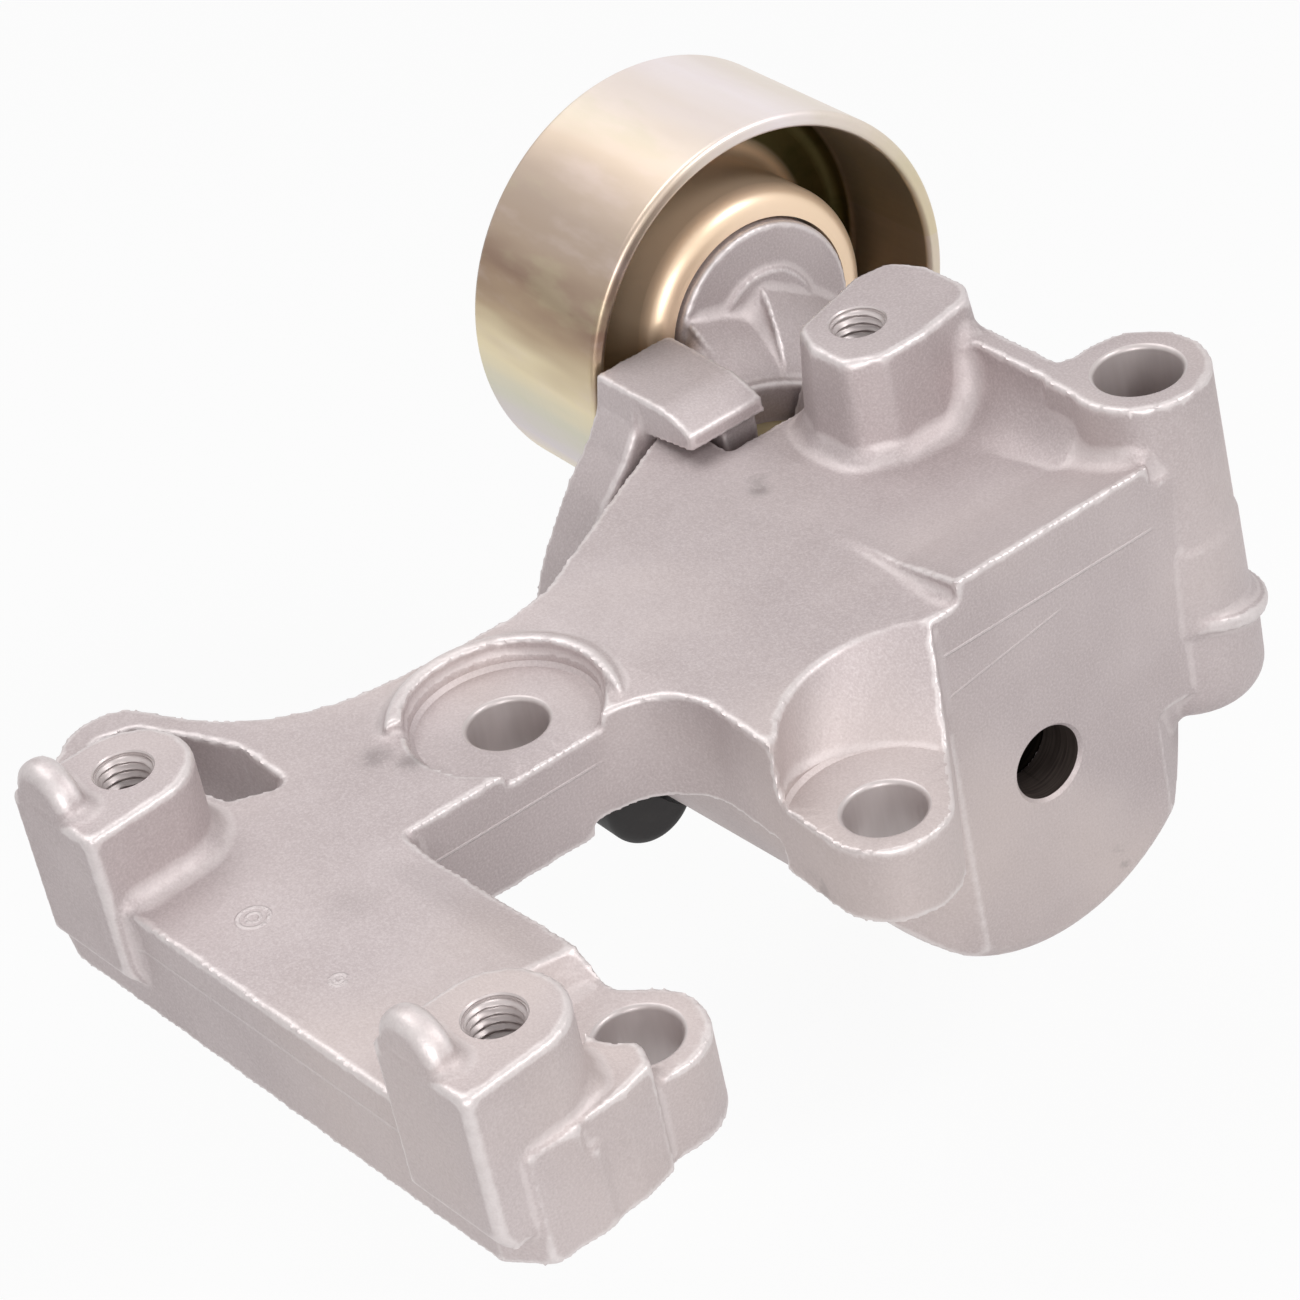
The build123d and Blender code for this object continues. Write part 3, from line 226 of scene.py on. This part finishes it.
class Finish(Nodes):
    """A material being built: its nodes, its coordinates and its surface shader."""

    def __init__(self, name, metallic, roughness):
        self.material = bpy.data.materials.new(name)
        self.material.use_nodes = True
        super().__init__(self.material.node_tree)
        self.shader = self.tree.nodes["Principled BSDF"]
        self.shader.inputs["Metallic"].default_value = metallic
        self.shader.inputs["Roughness"].default_value = roughness
        self.place = self.node("ShaderNodeTexCoord", out="Object")

    def noise(self, scale, detail=2.0, rough=0.5, place=None):
        return self.node("ShaderNodeTexNoise", {}, {"Vector": place or self.place, "Scale": scale,
                                                    "Detail": detail, "Roughness": rough})

    def stretched(self, scale):
        """Object coordinates scaled by a different amount along each axis."""
        return self.node("ShaderNodeMapping", {}, {"Vector": self.place, "Scale": scale})

    def ramp(self, value, stops):
        return self.node("ShaderNodeValToRGB", {"stops": stops}, [value])

    def mix(self, share, low, high):
        """Mixes two colours by a share."""
        low, high = [(*c, 1.0) if isinstance(c, tuple) else c for c in (low, high)]
        return self.node("ShaderNodeMix", {"data_type": "RGBA"}, {0: share, 6: low, 7: high}, out=2)

    def bend(self):
        """How sharply the surface turns, kept on the mesh: over 0 on edges, under it in corners."""
        return self.node("ShaderNodeAttribute", {"attribute_name": "bend"}, out="Fac")

    def parts(self, vector):
        """The x, y and z of a vector."""
        return [self.node("ShaderNodeSeparateXYZ", {}, [vector], out=k) for k in range(3)]

    def axes(self, centre=(0.0, 0.0, 0.0)):
        """Distances from a point along x, y and z, in millimetres."""
        return self.parts(self.node("ShaderNodeMapping", {}, {
            "Vector": self.place, "Scale": (1000.0, 1000.0, 1000.0), "Location": tuple(-c for c in centre)}))

    def spot(self, centre, radius):
        """Soft round patch: 1 in its middle, 0 at its radius."""
        x, y, z = self.axes(centre)
        return 1.0 - (x * x + y * y + z * z).math("SQRT").step(0.0, radius)

    def line(self, value, middle, half):
        """Narrow line where a value is near its middle: 1 on it, 0 at half a width off."""
        return 1.0 - (value - middle).math("ABSOLUTE").step(half * 0.4, half)

    def bump(self, height, distance, strength):
        return self.node("ShaderNodeBump", {}, {"Strength": strength, "Distance": distance, "Height": height})

    def feed(self, **sockets):
        """Joins values to the surface shader's sockets."""
        for name, value in sockets.items():
            self.tree.links.new(value.socket, self.shader.inputs[name.replace("_", " ")])
        return self.material


def linear(red, green, blue):
    """Colour as seen, 0 to 255, turned into light amounts."""
    seen = np.array([red, green, blue]) / 255.0
    light = np.where(seen <= 0.04045, seen / 12.92, ((seen + 0.055) / 1.055) ** 2.4)
    return tuple(float(v) for v in light)


def flash_lines(f):
    """Parting lines of the mould: two on the flange, one along the leg's front and one in the arch."""
    x, y, z = f.axes()
    on_flange = x.step(-0.6, -0.3) * y.between((-14.6, -13.8), (21.5, 24.0))
    across = y + x * math.tan(math.radians(-LEG_TURN))
    on_leg = (1.0 - across.step(-117.4, -116.6)) * x.between((-36.0, -33.0), (20.0, 24.0))
    on_arch = x.between((-24.0, -21.0), (-6.0, -2.0)) * y.between((-96.0, -94.0), (-60.0, -55.0))
    sloping = f.line(z - y * 0.148, 21.75, 0.28) * on_flange * (1.0 - y.step(5.0, 7.0))
    return (f.line(z, 26.3, 0.32) * on_flange + sloping * 0.7 + f.line(z, 25.6, 0.35) * on_leg
            + f.line(z, 24.6, 0.3) * on_arch)


def foundry_mark(f, centre, radius):
    """Two rings, one inside the other, on the leg's top."""
    x, y, z = f.axes(centre)
    off_the_top = z.math("ABSOLUTE").step(1.0, 2.0) * 50.0
    reach = (x * x + y * y).math("SQRT") + off_the_top
    return f.line(reach, radius, 0.42) + f.line(reach, radius * 0.45, 0.35)


def blasted_casting():
    """Shot-blasted aluminium: warm grey, grained, with flash lines, foundry marks and darker patches.

    Its edges, corners, flash lines and foundry marks are lightened as painted highlights.
    """
    f = Finish("blasted_casting", 0.55, 0.5)
    # Lighter colour for the flash lines and foundry rings: a painted highlight
    bright = linear(232, 225, 224)
    cloud = f.noise(24.0, 4.0, 0.55)
    grain = f.noise(2800.0, 2.0, 0.65)
    coarse = f.noise(520.0, 4.0, 0.65)
    colour = f.mix(cloud.step(0.3, 0.72), linear(182, 170, 170), linear(200, 189, 189))
    colour = f.mix(grain.step(0.4, 0.75) * 0.3, colour, linear(226, 218, 218))
    colour = f.mix((1.0 - grain.step(0.2, 0.48)) * 0.18, colour, linear(146, 135, 134))
    warm = f.noise(13.0, 3.0, 0.6).step(0.42, 0.7)
    colour = f.mix(warm * 0.3, colour, linear(206, 190, 180))
    # Painted highlights: convex edges are lightened, broken up by noise, and concave corners are lightened as
    # well
    bend = f.bend()
    ragged = 0.75 + coarse.step(0.35, 0.65) * 0.25
    edge = bend.step(0.009, 0.031) * ragged
    fillet = (bend * -1.0).step(0.006, 0.018)
    colour = f.mix(fillet * 0.35, colour, linear(226, 217, 216))
    colour = f.mix(edge * 0.55, colour, linear(238, 231, 230))
    # Flash lines and foundry rings are raised by the bump and also lightened as a painted highlight
    raised = flash_lines(f) * ragged
    colour = f.mix(raised * 0.3, colour, bright)
    for centre, radius in STAMPS:
        ring = foundry_mark(f, centre, radius) * coarse.step(0.3, 0.52)
        raised = raised + ring * 0.8
        colour = f.mix(ring * 0.4, colour, bright)
    # Darker patches: random ones from noise, and round ones at the listed places
    shade = f.noise(60.0, 5.0, 0.6).step(0.68, 0.74) * f.noise(19.0).step(0.56, 0.66) * 0.5
    for centre, radius, strength in DARK_PATCHES:
        shade = shade + f.spot(centre, radius) * coarse.step(0.25, 0.55) * strength
    colour = f.mix(shade, colour, linear(128, 119, 118))
    rough = 0.55 - edge * 0.14 + cloud * 0.08
    height = grain * 0.5 + coarse * 0.9 + raised * 2.2
    return f.feed(Base_Color=colour, Roughness=rough, Normal=f.bump(height, 0.00008, 0.8))


def bored_metal():
    """Bored aluminium of the holes: smooth and pale, with faint lengthwise drags."""
    f = Finish("bored_metal", 0.45, 0.42)
    drags = f.noise(1.0, 2.0, 0.5, f.stretched((900.0, 900.0, 90.0)))
    colour = f.mix(drags, linear(196, 186, 184), linear(208, 199, 198))
    return f.feed(Base_Color=colour, Normal=f.bump(drags, 0.00002, 0.2))


def pale_plating():
    """Yellow zinc plating, pale: lilac, gold, brown and green follow each other round the pulley,
    partly the plating's tint and partly painted highlight, shade and reflection.

    Inside the rim the lip is golden with a painted highlight,
    and the dish behind it is dark olive painted shade.
    """
    f = Finish("pale_plating", 0.9, 0.28)
    centre = (0.0, -PULLEY_AXIS[0] * MM, -PULLEY_AXIS[1] * MM)
    x, y, z = f.parts(f.node("ShaderNodeVectorMath", {"operation": "ADD"}, [f.place, centre]))
    radius = (y * y + z * z).math("SQRT")
    wander = f.noise(1.0, 3.0, 0.6, f.stretched((14.0, 70.0, 70.0)))
    turns = f.noise(1.0, 3.0, 0.6, f.stretched((2200.0, 12.0, 12.0)))
    share_of_turn = (z.math("ARCTAN2", y) * (1 / TURN)).math("FRACT") + (wander - 0.5) * 0.09
    # Colours by angle round the pulley: the plating's own tint mixed with painted highlight, shade and
    # reflection
    plating_and_light_bands = [(0.04, linear(214, 200, 172)), (0.16, linear(226, 214, 204)), (0.215, linear(236, 226, 226)),
             (0.275, linear(226, 212, 200)), (0.32, linear(206, 188, 170)), (0.37, linear(178, 160, 146)),
             (0.405, linear(172, 152, 134)), (0.435, linear(140, 116, 100)), (0.46, linear(176, 154, 128)),
             (0.49, linear(226, 212, 178)), (0.525, linear(206, 202, 184)), (0.555, linear(206, 196, 198)),
             (0.6, linear(226, 210, 180)), (0.68, linear(200, 196, 168)), (0.8, linear(216, 202, 184))]
    colour = f.ramp(share_of_turn, plating_and_light_bands)
    blotch = f.noise(1.0, 4.0, 0.6, f.stretched((40.0, 120.0, 120.0)))
    colour = f.mix(blotch.step(0.5, 0.72) * 0.25, colour, linear(222, 206, 206))
    colour = f.mix((1.0 - blotch.step(0.3, 0.46)) * 0.2, colour, linear(198, 196, 158))
    # Painted highlight on the lip inside the rim, golden plating tint with it; painted shade on the dish
    # between lip and rim
    inside = 1.0 - radius.step(*RIM_INSIDE)
    hollow = inside * radius.step(*LIP_OUTSIDE)
    olive = f.mix(blotch.step(0.35, 0.6), linear(52, 50, 20), linear(68, 60, 32))
    colour = f.mix(inside * 0.9, colour, linear(255, 226, 194))
    colour = f.mix(hollow, colour, olive)
    metal = 0.9 - (inside - hollow) * 0.4
    return f.feed(Base_Color=colour, Metallic=metal, Roughness=0.3 + turns * 0.1,
                  Normal=f.bump(turns, 0.00002, 0.25))


def black_rubber():
    """Black moulded rubber with fine grain and pale dust."""
    f = Finish("black_rubber", 0.0, 0.62)
    grain = f.noise(900.0, 3.0, 0.6)
    dust = f.noise(90.0, 4.0, 0.6).step(0.5, 0.8)
    colour = f.mix(dust * 0.3, linear(34, 31, 31), linear(78, 72, 68))
    return f.feed(Base_Color=colour, Normal=f.bump(grain, 0.00008, 0.6))


def turned_steel(name, dark, light, roughness):
    """Bright or dark turned steel with fine turning marks round the pivot's direction."""
    f = Finish(name, 0.95, roughness)
    marks = f.noise(1.0, 2.0, 0.6, f.stretched((2400.0, 90.0, 90.0)))
    colour = f.mix(marks.step(0.3, 0.75), dark, light)
    return f.feed(Base_Color=colour, Roughness=roughness + marks * 0.1, Normal=f.bump(marks, 0.00003, 0.5))


def natural_plastic():
    """Undyed plastic, cloudy cream."""
    f = Finish("natural_plastic", 0.0, 0.5)
    cloud = f.noise(120.0, 3.0, 0.6)
    return f.feed(Base_Color=f.mix(cloud, linear(150, 134, 96), linear(180, 166, 130)),
                  Normal=f.bump(f.noise(1500.0), 0.00004, 0.4))


CASTING = blasted_casting()
BORED = bored_metal()
PLATING = pale_plating()
RUBBER = black_rubber()
STEEL = turned_steel("turned_steel", linear(120, 114, 106), linear(176, 170, 162), 0.34)
DARK_STEEL = turned_steel("dark_steel", linear(46, 40, 36), linear(74, 66, 58), 0.45)
# Dark steel-like finish for the pivot bore: painted shade of the bore's inside
SHADED_BORE_STEEL = turned_steel("shaded_bore_steel", linear(104, 92, 88), linear(132, 120, 114), 0.5)
BRIGHT_STEEL = turned_steel("bright_steel", linear(170, 168, 166), linear(214, 212, 210), 0.22)
PLASTIC = natural_plastic()


def added(name, data):
    """New object in the scene for a mesh, a lamp or a camera."""
    made = bpy.data.objects.new(name, data)
    bpy.context.scene.collection.objects.link(made)
    return made


def only(piece):
    """Selects one piece and nothing else."""
    bpy.ops.object.select_all(action="DESELECT")
    piece.select_set(True)
    bpy.context.view_layer.objects.active = piece


def merged(piece, reach):
    """Makes one corner of those that lie within reach of each other."""
    only(piece)
    bpy.ops.object.mode_set(mode="EDIT")
    bpy.ops.mesh.select_all(action="SELECT")
    bpy.ops.mesh.remove_doubles(threshold=reach)
    bpy.ops.object.mode_set(mode="OBJECT")
    return piece


def outward(piece):
    """Merges doubled corners and turns the faces outwards."""
    merged(piece, 1e-7)
    bpy.ops.object.mode_set(mode="EDIT")
    bpy.ops.mesh.select_all(action="SELECT")
    bpy.ops.mesh.normals_make_consistent(inside=False)
    bpy.ops.object.mode_set(mode="OBJECT")
    return piece


def ring_mesh(name, points, material):
    """Mesh through a grid of points (rows, columns, 3) in millimetres, closed both ways like a ring."""
    rows, columns = points.shape[:2]
    index = np.arange(rows * columns).reshape(rows, columns)
    index = np.vstack([index, index[:1]])
    index = np.hstack([index, index[:, :1]])
    quads = np.stack([index[:-1, :-1], index[1:, :-1], index[1:, 1:], index[:-1, 1:]], axis=-1)
    mesh = bpy.data.meshes.new(name)
    mesh.from_pydata((points.reshape(-1, 3) * MM).tolist(), [], quads.reshape(-1, 4).tolist())
    mesh.materials.append(material)
    mesh.validate()
    return added(name, mesh)


def turned_shape(name, profile, centre, along="Z", steps=96):
    """Solid of revolution of a closed profile: centre + radius * (cos a, sin a) + height along the axis."""
    profile = np.array(profile, float)
    a = np.arange(steps) / steps * TURN
    radius, height = profile[:, 0][None, :], profile[:, 1][None, :]
    across, up = radius * np.cos(a)[:, None], radius * np.sin(a)[:, None]
    height = np.broadcast_to(height, across.shape)
    if along == "Z":
        points = np.stack([centre[0] + across, centre[1] + up, height], axis=-1)
    else:
        points = np.stack([height, centre[0] + across, centre[1] + up], axis=-1)
    piece = ring_mesh(name, points, CASTING)
    piece.data.set_sharp_from_angle(angle=math.radians(35))
    return outward(piece)


def worked(piece, label):
    """Mesh of a piece with its modifiers worked out, as a new object."""
    graph = bpy.context.evaluated_depsgraph_get()
    mesh = bpy.data.meshes.new_from_object(piece.evaluated_get(graph), depsgraph=graph)
    made = added(label, mesh)
    bpy.data.objects.remove(piece)
    return made


def corners(mesh, what="co"):
    """Places of a mesh's corners, in metres, or their normals, one row each."""
    values = np.empty(len(mesh.vertices) * 3)
    mesh.vertices.foreach_get(what, values)
    return values.reshape(-1, 3)


def neighbour_mean(mesh):
    """Gives a function: for rows of values on the corners, the mean over each corner's neighbours."""
    count = len(mesh.vertices)
    pairs = np.empty(len(mesh.edges) * 2, int)
    mesh.edges.foreach_get("vertices", pairs)
    first, second = pairs.reshape(-1, 2).T
    number = np.bincount(first, minlength=count) + np.bincount(second, minlength=count)

    def mean(values):
        totals = [np.bincount(first, column[second], count) + np.bincount(second, column[first], count)
                  for column in values.T]
        return np.stack(totals, axis=1) / number[:, None]

    return mean


def eased(piece, passes):
    """Evens the surface, which keeps its size: corners move toward their neighbours' mean, then back."""
    mesh = piece.data
    mean = neighbour_mean(mesh)
    place = corners(mesh)
    for share in (EASE_OUT, -EASE_BACK) * passes:
        place = place + share * (mean(place) - place)
    mesh.vertices.foreach_set("co", place.ravel())
    mesh.update()
    return piece


def bent(piece):
    """Keeps each corner's bend: how far it stands out of its neighbours' mean, along its normal, evened."""
    mesh = piece.data
    mean = neighbour_mean(mesh)
    place = corners(mesh) / MM
    bend = ((place - mean(place)) * corners(mesh, "normal")).sum(axis=1)[:, None]
    for k in range(BEND_PASSES):
        bend = 0.5 * bend + 0.5 * mean(bend)
    kept = mesh.attributes.new("bend", "FLOAT", "POINT")
    kept.data.foreach_set("value", bend.ravel().astype(np.float32))
    return piece


def remeshed(piece, name, voxel):
    """Adds an even remesh to a piece, with its mesh size in millimetres."""
    again = piece.modifiers.new(name, "REMESH")
    again.mode = "VOXEL"
    again.voxel_size = voxel * MM


def softened(node, label, voxel, fillet, passes):
    """Cast copy of a node: a grown and shrunk copy laid in it fills its corners, and both are remeshed.

    It is turned askew meanwhile, because a long edge that runs nearly along the remesh's grid comes out
    in steps.
    """
    copy = merged(added(label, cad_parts[node].data.copy()), 1e-6)
    copy.data.transform(ASKEW)
    filled = added(label + "_filled", copy.data.copy())
    remeshed(filled, "even", FILLING_VOXEL)
    for name, amount in (("grown", fillet), ("shrunk", -fillet - FILLING_DEPTH)):
        swell = filled.modifiers.new(name, "DISPLACE")
        swell.strength = amount * MM
        swell.mid_level = 0.0
        remeshed(filled, name + "_even", FILLING_VOXEL)
        calm = filled.modifiers.new(name + "_calm", "SMOOTH")
        calm.iterations = CALM_PASSES
    whole = joined(label, [copy, worked(filled, label + "_filled")])
    remeshed(whole, "whole", voxel)
    whole = eased(worked(whole, label), passes)
    whole.data.transform(ASKEW.inverted())
    return bent(whole)


def lightened(piece, node, most):
    """Piece thinned to about so many triangles, flat places first, and kept in its node's box."""
    number = sum(len(p.vertices) - 2 for p in piece.data.polygons)
    thin = piece.modifiers.new("thin", "DECIMATE")
    thin.ratio = min(1.0, most / number)
    made = worked(piece, piece.name)
    low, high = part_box(node)
    made.data.vertices.foreach_set("co", np.clip(corners(made.data), low, high).ravel())
    return made


def sloped_leg(piece):
    """Lets the leg's top fall to its back edge: drop = LEG_DROP * smooth steps across, along and up it."""
    turn = math.radians(LEG_TURN)
    place = corners(piece.data) / MM
    x, y, z = place[:, 0] - RIGHT_TAP[0], place[:, 1] - RIGHT_TAP[1], place[:, 2]
    along, across = x * math.cos(turn) + y * math.sin(turn), y * math.cos(turn) - x * math.sin(turn)

    def ramp(value, low, high):
        share = np.clip((value - low) / (high - low), 0, 1)
        return share * share * (3 - 2 * share)

    lengthwise = ramp(along, *LEG_FALL_BEGINS) * (1 - ramp(along, *LEG_FALL_ENDS))
    upward = ramp(z, *LEG_TOP_FROM) * (1 - ramp(z, *LEG_TOP_TO))
    share = ramp(across, *LEG_FALL_ACROSS) * (across < LEG_BACK_EDGE) * lengthwise * upward
    place[:, 2] -= LEG_DROP * share
    piece.data.vertices.foreach_set("co", (place * MM).ravel())
    return piece


def joined(name, pieces):
    """One object out of several."""
    only(pieces[0])
    for piece in pieces:
        piece.select_set(True)
    bpy.ops.object.join()
    pieces[0].name = name
    return pieces[0]


def combined(piece, tools, operation, label):
    """Piece with closed tools, which don't touch each other, added or cut away."""
    tool = joined(label + "_tools", tools)
    change = piece.modifiers.new(operation.lower(), "BOOLEAN")
    change.operation = operation
    change.solver = "MANIFOLD"
    change.object = tool
    made = worked(piece, label)
    bpy.data.objects.remove(tool)
    return made


def plug(name, place, radius, low, high, along="Z"):
    """Round plug that fills a hole whose rim was softened."""
    profile = [(NEAR_AXIS, low), (radius, low), (radius, high), (NEAR_AXIS, high)]
    return turned_shape("plug_" + name, profile, place, along)


def seat_tool(name, place, radius, level):
    """Cutter of a round bolt seat with a small bevel round its floor."""
    high = level + SEAT_REACH
    profile = [(NEAR_AXIS, level), (radius - SEAT_BEVEL, level), (radius, level + SEAT_BEVEL),
               (radius, high), (NEAR_AXIS, high)]
    return turned_shape("cut_" + name, profile, place)


def hole_tool(name, place, radius, top, bottom):
    """Cutter of a through hole with a rounded mouth of a quarter circle."""
    bend = np.linspace(0, math.pi / 2, MOUTH_STEPS)
    mouth = [(radius + MOUTH_R * (1 - math.cos(b)), top - MOUTH_R * (1 - math.sin(b)) + PROUD) for b in bend]
    low, high = bottom - REACH_BELOW, top + REACH_ABOVE
    outer = radius + MOUTH_R + 2 * PROUD
    profile = [(NEAR_AXIS, low), (radius, low), *mouth, (outer, high), (NEAR_AXIS, high)]
    return turned_shape("cut_" + name, profile, place)


def tap_tool(name, place, top, depth):
    """Cutter of a blind hole at the thread's outer size, with a chamfer and a drill point."""
    wide, high = THREAD_R + TAP_CHAMFER, top + REACH_ABOVE
    profile = [(NEAR_AXIS, top - depth - DRILL_POINT), (THREAD_R, top - depth), (THREAD_R, top - TAP_CHAMFER),
               (wide, top + 2 * PROUD), (wide, high), (NEAR_AXIS, high)]
    return turned_shape("cut_" + name, profile, place)


def pivot_tool():
    """Cutter of the pivot bore, with a chamfer at the flange face."""
    below, above = PIVOT_REACH
    wide = PIVOT_BORE_R + PIVOT_CHAMFER
    low = -END_WALL - below
    profile = [(NEAR_AXIS, low), (PIVOT_BORE_R, low), (PIVOT_BORE_R, -PIVOT_CHAMFER),
               (wide, 2 * PROUD), (wide, above), (NEAR_AXIS, above)]
    return turned_shape("cut_pivot", profile, (0, 0), "X")


def thread(name, place, top, depth, steps=72):
    """Screw thread: radius = core + rise * tooth(height / pitch - angle / turn), a flat-topped triangle."""
    levels_per_turn, fade_length = 10, 0.7
    steepness, flat = 1.25, 0.12
    crest, wall = THREAD_R - 0.12, THREAD_R + 0.15
    a = np.arange(steps) / steps * TURN
    low, high = top - depth + 0.4, top - 0.5
    height = np.linspace(high, low, int((high - low) / THREAD_PITCH * levels_per_turn))
    phase = (height[None, :] / THREAD_PITCH - a[:, None] / TURN) % 1.0
    tooth = np.clip(steepness * np.abs(2 * phase - 1) - flat, 0, 1)
    fade = np.clip((high - height) / fade_length, 0, 1)[None, :]
    radius = TAP_R + (crest - TAP_R) * (1 - (1 - tooth) * fade)
    radius = np.hstack([radius, np.full((steps, 2), wall)])
    height = np.concatenate([height, [low, high]])[None, :]
    points = np.stack([place[0] + radius * np.cos(a)[:, None], place[1] + radius * np.sin(a)[:, None],
                       np.broadcast_to(height, radius.shape)], axis=-1)
    return outward(ring_mesh(name, points, BORED))


def dressed(piece, *finishes):
    """Gives a piece its finishes, one to each material slot."""
    piece.data.materials.clear()
    for finish in finishes:
        piece.data.materials.append(finish)


def bored_side(tool):
    """Finishes a cutter: bored metal on its upright sides, steel darkened as painted shade in the pivot bore,
    else casting.
    """
    dressed(tool, CASTING, BORED, SHADED_BORE_STEEL)
    normals = np.empty(len(tool.data.polygons) * 3)
    tool.data.polygons.foreach_get("normal", normals)
    axis, most, slot = (0, 0.05, 2) if tool.name == "cut_pivot" else (2, 0.95, 1)
    upright = np.abs(normals.reshape(-1, 3))[:, axis] < most
    tool.data.polygons.foreach_set("material_index", upright.astype(int) * slot)


def smooth(piece, degrees):
    """Smooth shading with crisp edges past an angle."""
    mesh = piece.data
    mesh.polygons.foreach_set("use_smooth", np.ones(len(mesh.polygons), bool))
    mesh.set_sharp_from_angle(angle=math.radians(degrees))
    return piece


def make_bracket():
    """Bracket casting with softened edges, and its holes cut crisp."""
    *cast, most = BRACKET_CAST
    body = lightened(sloped_leg(softened("bracket", "bracket_casting", *cast)), "bracket", most)
    dressed(body, CASTING, BORED, SHADED_BORE_STEEL)
    plugs = [plug(name, place, radius + PLUG_OVERLAP, bottom + PLUG_RAISE, top + PROUD)
             for name, place, radius, top, bottom in HOLES]
    plugs += [plug(name, place, THREAD_R + TAP_PLUG_OVERLAP, top - depth - TAP_PLUG_DEEPER, top + PROUD)
              for name, place, top, depth in TAPS]
    pivot_plug_r = PIVOT_BORE_R + PIVOT_PLUG_OVERLAP
    plugs.append(plug("pivot", (0, 0), pivot_plug_r, PLUG_RAISE - END_WALL, PROUD, "X"))
    body = combined(body, plugs, "UNION", "bracket_plugged")
    body = combined(body, [seat_tool(*seat) for seat in SEATS], "DIFFERENCE", "bracket_seated")
    tools = [hole_tool(*hole) for hole in HOLES] + [tap_tool(*tap) for tap in TAPS] + [pivot_tool()]
    for tool in tools:
        bored_side(tool)
    body = smooth(combined(body, tools, "DIFFERENCE", "bracket_body_casting"), 38)
    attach(body, "bracket_body")
    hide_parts("bracket")


def make_arm():
    """Arm casting with softened edges."""
    *cast, most = ARM_CAST
    arm = lightened(softened("tensioner_arm", "arm_casting", *cast), "tensioner_arm", most)
    dressed(arm, CASTING)
    smooth(arm, 60)
    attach(arm, "arm_body")
    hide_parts("tensioner_arm")


def make_threads():
    """Threads of the three tapped holes."""
    for tap in TAPS:
        piece = smooth(thread(*tap), 50)
        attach(piece, "bracket_body")


def dress_nodes():
    """Gives each solid that stays its finish."""
    finishes = {
        "pulley_shell": PLATING, "stop_buffer": RUBBER, "dust_seal": RUBBER, "pivot_shaft": DARK_STEEL,
        "torsion_spring": DARK_STEEL, "spring_seat": RUBBER, "thrust_washer_front": PLASTIC,
        "thrust_washer_rear": PLASTIC, "shaft_bush_front": PLASTIC, "shaft_bush_rear": PLASTIC,
        "damping_ring": PLASTIC, "bearing_inner_ring": BRIGHT_STEEL, "bearing_outer_ring": BRIGHT_STEEL,
        "bearing_balls": BRIGHT_STEEL, "bearing_cage": RUBBER, "bearing_seal_front": RUBBER,
        "bearing_seal_rear": RUBBER, "bearing_snap_ring": STEEL, "dust_shield": STEEL, "pulley_bolt": STEEL,
    }
    for name, finish in finishes.items():
        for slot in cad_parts[name].material_slots:
            slot.material = finish


def standing(side, up, back, place):
    """Matrix of a thing at a place, with its x, y and z axes along side, up and back."""
    turn = np.eye(4)
    turn[:3] = np.stack([side, up, back, place], axis=1)
    return Matrix(turn.tolist())


def area_light(name, place, size, power):
    """Square soft light at a place, facing the part."""
    light = bpy.data.lights.new(name, "AREA")
    light.size = size
    light.energy = power
    place, aim = np.array(place), np.array(LAMP_AIM)
    back = (place - aim) / np.linalg.norm(place - aim)
    side = np.cross((0.0, 0.0, 1.0), back)
    side = side / np.linalg.norm(side)
    added(name, light).matrix_world = standing(side, np.cross(back, side), back, place)


def set_camera():
    """Camera solved from the photograph."""
    camera = bpy.data.cameras.new("camera")
    camera.sensor_width = 36.0
    camera.lens = CAMERA_LENS
    camera.clip_start = 0.01
    holder = added("camera", camera)
    holder.matrix_world = standing(CAMERA_SIDE, CAMERA_UP, CAMERA_BACK, CAMERA_PLACE)
    bpy.context.scene.camera = holder


def set_studio():
    """White room: even sky light, a pale floor under the part and three soft lamps."""
    world = bpy.data.worlds.new("studio")
    bpy.context.scene.world = world
    world.use_nodes = True
    sky = world.node_tree.nodes["Background"]
    sky.inputs["Color"].default_value = (1, 1, 1, 1)
    sky.inputs["Strength"].default_value = SKY_LIGHT
    Nodes(world.node_tree).white_to_the_eye(sky, "ShaderNodeBackground", 1.0, "World Output")
    mesh = bpy.data.meshes.new("floor")
    rim = [(-1, -1), (1, -1), (1, 1), (-1, 1)]
    mesh.from_pydata([(x * FLOOR_HALF, y * FLOOR_HALF, FLOOR_LEVEL) for x, y in rim], [], [(0, 1, 2, 3)])
    pale = Finish("pale_floor", 0.0, 0.9)
    pale.shader.inputs["Base Color"].default_value = (FLOOR_GREY, FLOOR_GREY, FLOOR_GREY, 1)
    pale.white_to_the_eye(pale.shader, "ShaderNodeEmission", FLOOR_WHITE, "Material Output")
    mesh.materials.append(pale.material)
    added("floor", mesh)
    for name, place, size, power in LAMPS:
        area_light(name, place, size, power)
    bpy.context.scene.view_settings.view_transform = "Standard"


set_camera()
set_studio()
dress_nodes()
make_bracket()
make_arm()
make_threads()
